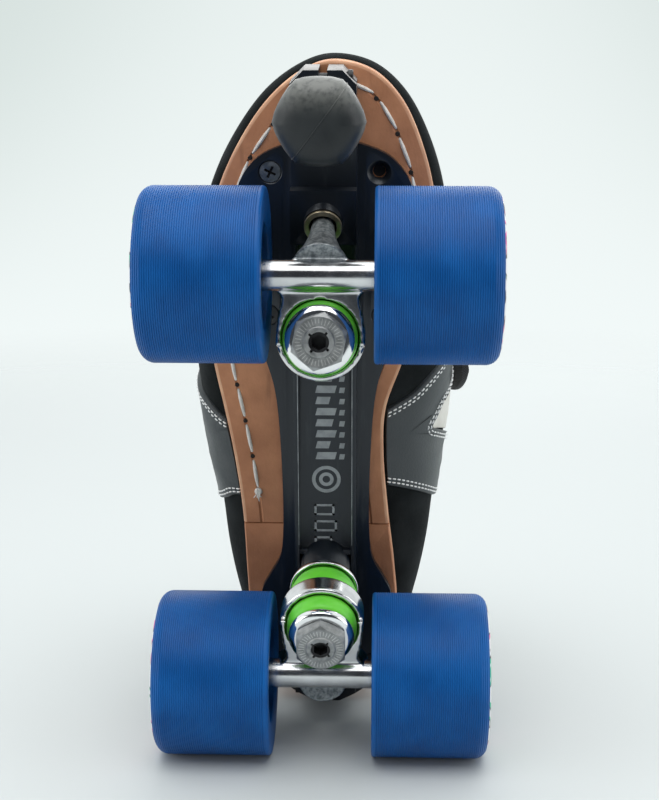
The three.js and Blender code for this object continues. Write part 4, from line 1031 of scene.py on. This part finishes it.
def soleTop(x):
    return soleZ + boot["sole"] + rise(x)


# four closed loops: at each share of the way round, the wall is a cubic Bezier curve from the first to the last
def controlLoops():
    last = len(stations) - 1
    rings = [[], [], [], []]
    for index, inner in [(k, False) for k in range(last + 1)] + [(k, True) for k in range(last - 1, 0, -1)]:
        x, outerY, innerY, (topX, half, height), low, arch, high = stations[index]
        base = np.array((x, innerY if inner else outerY, soleTop(x) + boot["gap"]))
        ahead = index - boot["ridge"]
        lean = boot["lean"] * (ahead + 1) / (last - boot["ridge"] + 1) if ahead >= 0 else 0
        top = np.array((topX, (half if inner else -half) + lean, soleZ + height))
        centre = np.array((np.clip(x, -85, 108), innerY if index == last else 0))
        out = np.array((-1.0, 0.0)) if index == 0 else unit(base[:2] - centre)
        spread = unit(np.array((out[0] if index > boot["ridge"] else 0.0, out[1])))
        outHigh = spread if index >= boot["ridge"] else out
        reach, lift = arch if inner else low
        rings[0].append(base)
        rings[1].append((*(base[:2] + out * reach), base[2] + lift))
        rings[2].append((*(top[:2] + outHigh * high[0]), top[2] + high[1]))
        rings[3].append(top)
    return [np.array(ring, float) for ring in rings]


bootLoops = controlLoops()
loopCount = len(bootLoops[0])
ridgeShare = boot["ridge"] / loopCount


# the wall: a cubic Bezier curve between the four loops, at shares round the boot and up the wall
def wallPoint(u, t):
    a, b, c, d = (curveThrough(loop, u, True) for loop in bootLoops)
    t = np.asarray(t, float)[..., None]
    k = 1 - t
    return k ** 3 * a + 3 * k * k * t * b + 3 * k * t * t * c + t ** 3 * d


def wallNormal(u, t):
    around = wallPoint(u + 0.004, t) - wallPoint(u - 0.004, t)
    up = wallPoint(u, np.minimum(t + 0.02, 1)) - wallPoint(u, np.maximum(t - 0.02, 0))
    return unit(np.cross(around, up))


# a point of the wall moved out along its normal; the foot of the wall moves level, the closed ridge stays
# central
def skin(u, t, offset):
    u, t = np.broadcast_arrays(np.asarray(u, float), np.asarray(t, float))
    point, facing = wallPoint(u, t), wallNormal(u, t)
    level = unit(facing * (1, 1, 0))
    facing = np.where((t <= 1e-6)[..., None], level, facing)
    closed = (np.minimum(u % 1, 1 - u % 1) > ridgeShare - 1e-6) & (t >= 1 - 1e-6)
    middle = unit((facing + wallNormal(1 - u, t)) * (1, 0, 1))
    point = np.where(closed[..., None], (point + wallPoint(1 - u, t)) / 2, point)
    facing = np.where(closed[..., None], middle, facing)
    return point + facing * np.asarray(offset, float)[..., None]


# share round the boot and share up its wall of points given by x and height over the sole's underside
def onWall(x, height, inner):
    x, z = np.asarray(x, float), soleZ + np.asarray(height, float)
    rounds = np.linspace(0.5, 1, 160) if inner else np.linspace(0, 0.5, 160)
    gridU, gridT = np.meshgrid(rounds, np.linspace(0, 1, 50), indexing="ij")
    foot = wallPoint(gridU[:, 0], gridT[:, 0])
    foot = foot[np.argsort(foot[:, 0])]
    z = np.maximum(z, np.interp(x, foot[:, 0], foot[:, 2]) + 0.15)
    table = wallPoint(gridU, gridT).reshape(-1, 3)[:, [0, 2]]
    target = np.stack([x, z], -1).reshape(-1, 2)
    nearest = np.argmin(((target[:, None] - table[None]) ** 2).sum(-1), 1)
    u, t = gridU.ravel()[nearest], gridT.ravel()[nearest]
    for _ in range(12):
        here = wallPoint(u, t)[:, [0, 2]]
        du = (wallPoint(u + 1e-4, t)[:, [0, 2]] - here) / 1e-4
        dt = (wallPoint(u, t + 1e-4)[:, [0, 2]] - here) / 1e-4
        miss = target - here
        area = du[:, 0] * dt[:, 1] - du[:, 1] * dt[:, 0]
        area = np.where(np.abs(area) < 1e-3, 1e-3, area)
        u = u + np.clip((miss[:, 0] * dt[:, 1] - miss[:, 1] * dt[:, 0]) / area, -0.02, 0.02)
        t = np.clip(t + np.clip((du[:, 0] * miss[:, 1] - du[:, 1] * miss[:, 0]) / area, -0.1, 0.1), 0, 1)
    return u.reshape(x.shape), t.reshape(x.shape)


# the upper: outer skin, rolled top edge and inner skin, one closed section at each place round the boot; the
# outer skin has shallow creases, a sine wave round the boot that fades towards the sole, the top and the heel
def makeUpper():
    around, rows = 360, 44
    u = np.arange(around)[:, None] / around
    up = np.linspace(0, 1, rows) ** 0.9
    ts = np.r_[up, 1.0, up[::-1]]
    offsets = np.r_[np.zeros(rows), -boot["wall"] / 2, np.full(rows, -boot["wall"])]
    front = smoothStep(u % 1, 0.2, 0.26) * smoothStep(1 - u % 1, 0.2, 0.26)
    waves = 1 + np.sin(u * 60 + 3 * ts)
    crease = -0.22 * waves * smoothStep(ts, 0.3, 0.6) * smoothStep(1 - ts, 0.02, 0.3) * front
    offsets = offsets + np.where(np.arange(len(ts)) < rows, crease, 0)
    points = skin(u + 0 * ts, ts + 0 * u, offsets)
    closed = np.minimum(u[:, 0], 1 - u[:, 0]) > ridgeShare - 1e-6
    points[:, rows, 2] += np.where(closed, 0, 0.9)
    least = boot["throat"]
    side = np.where(u < 0.5, -1, 1)
    openY = np.where(side < 0, np.minimum(points[..., 1], -least), np.maximum(points[..., 1], least))
    points[..., 1] = np.where(closed[:, None], points[..., 1], openY)
    foot = soleTop(points[..., 0]) + boot["gap"]
    points[..., 2] = np.maximum(points[..., 2], foot)
    faces = gridFaces(around, len(ts), True, True)
    column, row = np.divmod(np.arange(len(faces)), len(ts))
    rimFace = (row == rows - 1) | (row == rows)
    both = closed[column] & closed[(column + 1) % around]
    skinned = (points.reshape(-1, 3), faces[~(rimFace & both)])
    piece("upper_suede", [skinned], (suede,), "chassis", ["boot_upper"], 60)


makeUpper()


# distance-keeping rings from an outline to its centre: [share of the way out, height share of the edge]
edgeRings = [(0, 1), (0.2, 1), (0.4, 1), (0.6, 1), (0.75, 1), (0.86, 1), (0.93, 1), (0.965, 0.96),
             (0.985, 0.82), (0.996, 0.5), (1.0, 0.1)]


# a leather panel: its outline in side view, filled by rings and laid on the wall with a rounded edge; it swells
# by a product of two sine waves that fades towards the edge
def makePanel(name, outline, centre, inner, look, node, high):
    line = evenly(curveThrough(outline, np.linspace(0, 1, 1200), True), 241)[:-1]
    shares = np.array([r[0] for r in edgeRings])
    tops = np.array([r[1] for r in edgeRings])
    flat = np.asarray(centre) + (line[None] - centre) * shares[:, None, None]
    u, t = onWall(flat[..., 0], flat[..., 1], inner)
    base = boot["gap"]
    waves = 1 + np.sin(flat[..., 0] * 0.16 + 1) * np.sin(flat[..., 1] * 0.2)
    puff = 0.2 * waves * (1 - shares[:, None] ** 4) + 0.2
    top = skin(u, t, base + (high - base) * tops[:, None] + puff)
    bottom = skin(u, t, np.full(u.shape, -0.4))
    panel = shell(np.concatenate([top, bottom[::-1]]))
    piece(name, [panel], (look,), "chassis", node, 50)
    return line


# little threads along a path of points with their facings, a pitch apart; each is an arched tube that thins and
# dips at its two ends
def stitches(path, facing, pitch, length, radius, sides=6):
    path = np.asarray(path, float)
    run = np.r_[0, np.cumsum(np.linalg.norm(np.diff(path, axis=0), axis=1))]
    count = max(2, int(run[-1] / pitch))
    at = (np.arange(count) + 0.5) * run[-1] / count
    pick = lambda field, where: np.stack([np.interp(where, run, field[:, k]) for k in range(3)], 1)
    centre = pick(path, at)
    along = unit(pick(path, np.minimum(at + 0.4, run[-1])) - pick(path, np.maximum(at - 0.4, 0)))
    up = unit(pick(np.asarray(facing, float), at))
    side = unit(np.cross(along, up))
    up = np.cross(side, along)
    s = np.array([-1, -0.86, -0.35, 0.35, 0.86, 1.0])
    thick = np.array([0, 0.75, 1, 1, 0.75, 0.0])
    lift = np.array([-1.4, -0.5, 0.25, 0.25, -0.5, -1.4]) * radius
    angle = np.arange(sides) / sides * tau
    ring = lambda axis, wave: axis[:, None, None] * (thick[:, None] * wave)[None, :, :, None] * radius
    lengthwise = along[:, None, None] * (s * length / 2)[None, :, None, None]
    lifted = up[:, None, None] * lift[None, :, None, None]
    points = centre[:, None, None] + lengthwise + lifted + (ring(side, np.cos(angle)) + ring(up, np.sin(angle)))
    one = gridFaces(len(s), sides, False, True)
    faces = (one[None] + (np.arange(count) * len(s) * sides)[:, None, None]).reshape(-1, 4)
    return points.reshape(-1, 3), faces


# stitches on the wall, at an offset, along a line in side view
def seamOnWall(line, inner, offset, pitch=2.45, length=1.95, radius=0.34):
    line = np.asarray(line, float)
    run = np.linalg.norm(np.diff(line, axis=0), axis=1).sum()
    fine = evenly(line, max(24, int(run / 1.2)))
    u, t = onWall(fine[:, 0], fine[:, 1], inner)
    return stitches(skin(u, t, np.full(len(fine), offset)), wallNormal(u, t), pitch, length, radius)


quarters = {
    "outer": {
        "outline": [(-25, 1), (3, 1), (6, 5.8), (8, 8), (11, 11.5), (14, 18.5), (19, 31), (22, 45), (24, 55),
                    (24, 63.4), (8, 69.2), (-21, 73.2), (-28, 71), (-34, 62), (-37.5, 50), (-38, 37),
                    (-36, 24), (-31.6, 14.2), (-28.5, 10)],
        "centre": (-8, 36),
    },
    "inner": {
        "outline": [(-20, 1), (8, 1), (11, 6), (12.6, 8.2), (15.3, 11.7), (19.7, 15.1), (24.1, 19), (30, 27),
                    (33, 38), (34.5, 48), (31, 60.8), (26.5, 61.4), (20.5, 51), (14, 40), (10.9, 35.4),
                    (6.7, 28.5), (1.6, 25.3), (-2.6, 23), (-5.5, 27.6), (-9.4, 36), (-14, 48), (-19.5, 63),
                    (-22.6, 71.4), (-31, 66), (-37.5, 55), (-39, 41), (-36.8, 31), (-29.5, 17.8),
                    (-26, 12.5), (-22.5, 7)],
        "centre": (-2, 12),
    },
}
seams = []
for side, facts in quarters.items():
    high = boot["gap"] + boot["panel"]
    line = makePanel(f"quarter_{side}_leather", facts["outline"], facts["centre"], side == "inner", grey,
                     [f"quarter_panel_{side}"], high)
    inward = unit(np.roll(line, -1, 0) - np.roll(line, 1, 0)) @ np.array([(0, 1), (-1, 0)])
    sense = np.sign(np.sum(inward * (np.asarray(facts["centre"]) - line), 1).mean())
    for inset in (1.5, 2.9):
        path = line + inward * sense * inset
        keep = path[:, 1] > 5
        start = int(np.argmax(~keep & np.roll(keep, -1)))
        path = np.roll(path, -start - 1, 0)[:int(keep.sum())]
        seams.append(seamOnWall(path, side == "inner", high + 0.27))
piece("quarter_stitching", seams, (whiteThread,), "chassis")
inlay = [(-3.5, 21.5), (2, 24), (8, 28), (13.5, 38), (19.5, 50), (24.5, 60), (8, 68.4), (-19.5, 71.8),
         (-18.2, 62), (-13, 48), (-8.4, 36), (-5, 27)]
makePanel("notch_inlay", inlay, (0, 42), True, cream, [], 0.75)
print("quarters done")


# facings: from a lower edge in side view up to the throat, one each side
facing = {
    "lower": [(-21, 75), (-6, 73), (8, 71), (28, 64), (48, 57), (66, 47.5), (78, 46.5)],
    "columns": 90, "rows": 22, "high": 1.6, "eyelets": 6,
}


# a quarter circle: 0 to 1 as k goes from 0 to 1
def bevelIn(k):
    return np.sqrt(np.clip(1 - (1 - np.clip(k, 0, 1)) ** 2, 0, 1))


eyelets, eyeStitches = [], []
for side in ("outer", "inner"):
    low = curveThrough(facing["lower"], np.linspace(0, 1, facing["columns"]))
    u, t0 = onWall(low[:, 0], low[:, 1], side == "inner")
    up, share = np.linspace(0, 1, facing["rows"]), np.linspace(0, 1, facing["columns"])
    edge = bevelIn(np.minimum(share, 1 - share) / 0.02)[:, None]
    edge = edge * bevelIn(up / 0.05)[None] * bevelIn((1 - up) / 0.04)[None]
    shareUp = t0[:, None] + (0.995 - t0[:, None]) * up[None]
    across = u[:, None] + 0 * shareUp
    top = skin(across, shareUp, boot["gap"] + (facing["high"] - boot["gap"]) * edge)
    bottom = skin(across, shareUp, np.full(shareUp.shape, -0.5))
    section = np.concatenate([top, bottom[:, ::-1]], 1)
    for k in (0, -1):
        section[k] = (section[k] + section[k, ::-1]) / 2
    piece(f"facing_{side}", [shell(capped(section))], (suede,), "chassis", [f"eyestay_{side}"],
          50)
    for inset in (0.09, 0.2):
        columns = slice(4, -4)
        where = t0[columns] + (1 - t0[columns]) * inset
        path = skin(u[columns], where, np.full(len(where), facing["high"] + 0.05))
        eyeStitches.append(stitches(path, wallNormal(u[columns], where), 2.6, 1.9, 0.24))
    for k in range(facing["eyelets"]):
        column = int(8 + k * (facing["columns"] - 26) / 5)
        where = 0.78 * (1 - t0[column]) + t0[column]
        at, out = skin(u[column], where, facing["high"]), wallNormal(u[column], where)
        level = unit(np.cross(out, (0, 0, 1.0)))
        ringPlace = placeBy(np.array([level, np.cross(out, level), out]), at)
        grommet = rounded([(1.7, -0.4), (3.0, -0.3), (2.9, 0.45), (1.8, 0.4)], 0.4, 3)
        eyelets.append((*turned(grommet, ringPlace, 20), 0))
        # a dark disc of painted shade fills each eyelet's hole
        eyelets.append((*disc(1.75, -0.3, 0.02, ringPlace, 16), 1))
piece("eyelets", eyelets, (blackOxide, holeShade), "chassis")
piece("facing_stitching", eyeStitches, (whiteThread,), "chassis")
print("facings done")


# sole: how many points go round it, how far in its stitched channel lies, and how many rows its underside has
soleRing = {"count": 420, "channel": 7.4, "rows": 12, "pitch": 14.5}


def soleOutline(count):
    return curveThrough(bootLoops[0], np.arange(count) / count, True)[:, :2]


# the sole's middle line beside each point of an outline
def soleMiddle(outline, front=112):
    x = outline[:, 0]
    return np.stack([np.clip(x, -88, front), np.interp(x, (-118, -60, 20, 90, 148), (-1.5, -2, -8, -1, 3))], 1)


# a slab between two height functions: rings go from the outline towards the middle line, each with a distance
# in and a dip of the lower face, which rounds the edge and sinks the channel
def soleSlab(outline, lowZ, highZ, channelAt):
    middle = soleMiddle(outline)
    far = np.linalg.norm(outline - middle, axis=1)
    inward = (middle - outline) / np.maximum(far, 1e-6)[:, None]
    depths = [0, 0.25, 0.7, 1.3] + [channelAt + k for k in (-0.75, -0.4, 0, 0.4, 0.75)]
    dips = [1.1, 0.35, 0.08, 0, 0, 0.35, 0.55, 0.35, 0, 0, 0, 0, 0]
    reach = [np.minimum(depth, 0.97 * far) for depth in depths]
    reach += [reach[-1] + (far - reach[-1]) * k for k in (0.3, 0.6, 0.85, 1.0)]
    rings = [outline + inward * depth[:, None] for depth in reach]
    under = [np.c_[ring, lowZ(ring[:, 0]) + dip] for ring, dip in zip(rings, dips)]
    upper = (rings[0], rings[1], rings[3], *rings[-4:])
    over = [np.c_[ring, highZ(ring[:, 0]) - (0.6 if k == 0 else 0)] for k, ring in enumerate(upper)]
    return shell(under[::-1] + over)


# the outline with two more points at each side of the step under the heel
def steppedOutline(liftX):
    line = soleOutline(soleRing["count"])
    points = []
    for a, b in zip(line, np.roll(line, -1, 0)):
        points.append(a)
        if (a[0] - liftX) * (b[0] - liftX) < 0:
            cross = a + (b - a) * (liftX - a[0]) / (b[0] - a[0])
            lean = np.sign(b[0] - a[0]) * np.array((0.06, 0))
            points += [cross - lean, cross + lean]
    return np.array(points)


def makeSole():
    liftX = boot["liftX"]
    line = steppedOutline(liftX)
    lowZ = lambda x: np.where(x > liftX, soleZ, soleTop(x) - boot["sole"])
    points, faces = soleSlab(line, lowZ, soleTop, soleRing["channel"])
    row = np.arange(len(faces)) // len(line)
    edge = (row >= soleRing["rows"] - 3) & (row < soleRing["rows"] + 1)
    made = meshObject("sole_leather", points, faces, (tan, tanEdge), edge.astype(int))
    settle(made, "chassis", ["outsole"], sharp=40)


# heel lift: the outline behind the step, closed by a straight front
def makeHeel():
    edgeX = boot["liftX"] - boot["gap"]
    heelLine = soleOutline(soleRing["count"])
    heelLine = heelLine[heelLine[:, 0] < edgeX]
    heelLine = heelLine[np.argsort(np.arctan2(heelLine[:, 1], -(heelLine[:, 0] + 60)))]
    ends = heelLine[[-1, 0]]
    ends[:, 0] = edgeX
    front = ends[0] + (ends[1] - ends[0]) * np.linspace(0, 1, 24)[:, None]
    outline = np.concatenate([heelLine, front])
    middle = np.array((-78.0, -1.5))
    rings = [outline + (middle - outline) * k for k in (0, 0.008, 0.02, 0.3, 1)]
    under = [np.c_[ring, np.full(len(ring), soleZ + dip)] for ring, dip in zip(rings, (0.9, 0.25, 0, 0, 0))]
    top = lambda x: soleTop(x) - boot["sole"] - boot["gap"]
    over = [np.c_[ring, top(ring[:, 0])] for ring in (rings[0], rings[3], rings[4])]
    piece("heel_lift_leather", [shell(under[::-1] + over)], (tan,), "chassis", ["heel_lift"], 30)


# thick thread in the channel round the toe and down the outer side, with dark plugs of painted shade in the
# holes between its stitches; its frayed end is seven bent tufts, turned by 0.9 radians from one to the next,
# and a knot
def makeSoleThread():
    base = curveThrough(bootLoops[0], 0.5 - np.linspace(-0.16, 0.345, 500), True)[:, :2]
    path = base + unit(soleMiddle(base) - base) * soleRing["channel"]
    keep = path[:, 0] > -24
    path = np.c_[path[keep], np.full(keep.sum(), soleZ + 0.12)]
    down = np.tile((0.0, 0.0, -1.0), (len(path), 1))
    rows = [stitches(path, down, soleRing["pitch"], 13.2, 0.74, 8)]
    piece("sole_stitching", rows, (thread,), "chassis")
    length = np.linalg.norm(np.diff(path, axis=0), axis=1).sum()
    holes = []
    for x, y, z in evenly(path, int(length / soleRing["pitch"]) + 1):
        # a dark plug of painted shade in each stitch hole
        hole = rounded([(tiny, z - 0.42), (0.85, z - 0.45), (1.0, z + 0.5), (tiny, z + 0.5)], 0.35, 3)
        holes.append(turned(hole, movedTo(x, y), 14))
    piece("sole_stitch_holes", holes, (holeShade,), "chassis")
    end = path[0] if path[0, 0] < path[-1, 0] else path[-1]
    s = np.linspace(0, 1, 9)[:, None]
    tufts = []
    for k in range(7):
        a = k * 0.9 + 0.4
        bend = np.array((-abs(math.cos(a)) - 0.5, 0.55 * math.sin(a), -0.25))
        run = end + s * bend * (2.4 + 1.2 * math.sin(3 * k)) + np.sin(s * 5 + k) * (0.35, 0.3, 0) - (0, 0, 0.5)
        tufts.append(tubeAlong(run, np.linspace(0.38, 0.16, 9), 6))
    tufts.append(turned(rounded([(tiny, -1.0), (1.5, -0.9), (1.7, 0.3), (tiny, 0.4)], 0.6, 4), movedTo(*end),
                        16))
    piece("sole_thread_end", tufts, (thread,), "chassis")


makeSole()
makeHeel()
makeSoleThread()
# the empty screw hole in the sole: a dark disc of painted shade
pilot = [(tiny, soleZ - 0.04), (2.2, soleZ - 0.04), (2.4, soleZ + 0.2), (tiny, soleZ + 0.2)]
piece("pilot_hole_shade", [turned(pilot, movedTo(*emptyHole), 24)], (holeShade,), "chassis")
print("sole done")


# insole: a thin pad with a rounded edge, on the floor of the boot
def makeInsole():
    outline = soleOutline(220)
    middle = soleMiddle(outline, 100)
    shares = np.array([0.10, 0.105, 0.12, 0.15, 0.22, 0.4, 0.6, 0.8, 1.0])
    lifts = np.array([0.6, 1.7, 2.6, 2.9, 3.0, 2.9, 2.8, 2.8, 2.8])
    floorAt = lambda x: soleTop(x) + 2 * boot["gap"] + boot["floor"]
    rings = [outline + (middle - outline) * share for share in shares]
    over = [np.c_[ring, floorAt(ring[:, 0]) + lift] for ring, lift in zip(rings, lifts)]
    under = [np.c_[ring, floorAt(ring[:, 0])] for ring in (rings[0], rings[4], rings[8])]
    pad = [shell(over[::-1] + under)]
    piece("insole_pad", pad, (lining,), "chassis", ["insole"], 50)


makeInsole()


# 1 along a run from 0 to 1 that rounds off like an ellipse over a share of it at each end
def roundOff(run, share, least):
    past = np.clip(np.abs(run - 0.5) * 2 - (1 - share), 0, 1) / share
    return np.sqrt(np.clip(1 - past ** 2, least, 1))


# bell curves of a width, one in each whole step of the run
def bells(run, width):
    return np.exp(-((np.mod(run, 1) - 0.5) / width) ** 2)


# a wave drawn out towards 1 and -1 by a power under one
def squared(wave, power):
    return np.sign(wave) * np.abs(wave) ** power


# ankle collar: a padded roll along the top line, pinched by seams
def makeCollar():
    steps = 240
    u = np.linspace(-5.1, 5.1, steps) / loopCount
    inward = unit(wallNormal(u, np.ones(steps)) * (1, 1, 0))
    path = evenly(wallPoint(u, np.ones(steps)) - inward * boot["wall"] / 2 + (0, 0, 5.6), steps)
    run = np.linspace(0, 1, steps)
    pinch = bells(run * 11 + 0.5, 0.055)
    radius = 5.0 * roundOff(run, 0.035, 0.02) * (1 - 0.075 * pinch) * (1 + 0.015 * np.sin(run * 90))
    roll = [tubeAlong(path, radius, 28)]
    piece("collar_roll", roll, (lining,), "chassis", ["ankle_collar"], 70)


makeCollar()

# tongue: a bent padded strip with sewn channels across it
tongueLine = [(82, 49), (60, 61), (36, 73.5), (14, 86), (-4, 96), (-14, 108), (-18, 123)]
tongueHalf = [8, 14, 18, 18, 14, 15, 23]


# its section is a flat rounded bar that bows down at the sides by a square law
def makeTongue():
    steps, sides = 150, 56
    s = np.linspace(0, 1, steps)
    spine = curveThrough([(x, 0, soleZ + h) for x, h in tongueLine], s)
    half = curveThrough([(k, w) for k, w in enumerate(tongueHalf)], s)[:, 1]
    tangent = unit(np.gradient(spine, axis=0))
    up = np.stack([tangent[:, 2], 0 * s, -tangent[:, 0]], 1)
    ends = roundOff(s, 0.10, 0.0)
    angle = np.arange(sides) / sides * tau
    across, thick = squared(np.cos(angle), 0.55), squared(np.sin(angle), 0.7)
    channel = bells(s * 9, 0.07) * smoothStep(s, 0.55, 0.62)
    body = (2.5 - 0.8 * channel)[:, None] * ends[:, None] ** 0.5
    widthNow = half * (0.62 + 0.38 * ends)
    height = thick[None] * body - 2.5 - 0.3 - (half * 0.3)[:, None] * across[None] ** 2
    sideways = np.array((0, 1, 0)) * (across[None] * widthNow[:, None])[..., None]
    pad = [shell(capped(spine[:, None] + up[:, None] * height[..., None] + sideways))]
    piece("tongue_pad", pad, (lining,), "chassis", ["tongue"], 70)


makeTongue()


# instep strap: a flat band up the outer wall, over the tongue and down the inner wall to a rounded tip, which
# stands away from the wall by a square law
def makeStrap():
    low, high, arch, stand, thick = 2.0, 30.0, 6.0, 2.4, 3.0
    xs, rows = np.linspace(low - 1, high + 1, 17), 300
    lines = []
    for x in xs:
        points = []
        for inner, ts in ((False, (0.55, 0.65, 0.76, 0.87, 0.96)), (True, (0.96, 0.85, 0.7, 0.55, 0.42))):
            around = np.linspace(1, 0.5, 400) if inner else np.linspace(0, 0.5, 400)
            share = np.interp(x, wallPoint(around, np.full(400, 0.7))[:, 0], around)
            points += [skin(share, k, stand) for k in ts]
            if not inner:
                points.append(np.array((x, 0, wallPoint(share, 1.0)[2] + arch)))
        lines.append(evenly(curveThrough(np.array(points), np.linspace(0, 1, 400)), rows + 1))
    lines = np.array(lines)
    steps, sides = 170, 40
    s = np.linspace(0, 1, steps)
    angle = np.arange(sides) / sides * tau
    across, layer = squared(np.cos(angle), 0.35), 0.5 + 0.5 * squared(np.sin(angle), 0.5)
    roundEnd = np.sqrt(np.clip(1 - (np.clip(s - 0.9, 0, 1) / 0.1004) ** 2, 0, 1))
    tip = np.clip(s - 0.86, 0, 1) / 0.14

    # a point between the nearest lines and its way out; without blending along the run it takes the nearest row
    def onBand(x, run, blended):
        column = np.clip((x - xs[0]) / (xs[1] - xs[0]), 0, len(xs) - 1.001)
        row = np.broadcast_to(run * rows, x.shape)
        i, j = column.astype(int), np.minimum(row.astype(int), rows - 1)
        a, b = (column - i)[..., None], (row - j)[..., None] * blended
        here = lines[i, j] * (1 - a) + lines[i + 1, j] * a
        following = lines[i, j + 1] * (1 - a) + lines[i + 1, j + 1] * a
        tangent = unit(lines[i, np.minimum(j + 1, rows)] - lines[i, np.maximum(j - 1, 0)])
        out = unit(np.stack([0 * x, -tangent[..., 2], tangent[..., 1]], -1))
        return here * (1 - b) + following * b, out

    middle, half = (low + high) / 2, (high - low) / 2
    at, out = onBand(middle + across[None] * half * roundEnd[:, None], s[:, None], 1)
    band = at + out * (layer[None] * thick + 3.5 * tip[:, None] ** 2)[..., None]
    piece("strap_webbing", [shell(capped(band))], (webbing,), "instep_strap", ["instep_strap"],
          60)
    rims = []
    for k in (-0.86, 0.86):
        reach = slice(3, -12)
        at, out = onBand(middle + k * half * roundEnd, s, 0)
        path = at + out * (thick + 0.02 + 3.5 * tip ** 2)[:, None]
        rims.append(stitches(path[reach], out[reach], 3.0, 2.2, 0.26))
    piece("strap_stitching", rims, (blackThread,), "instep_strap")


makeStrap()
print("boot done")
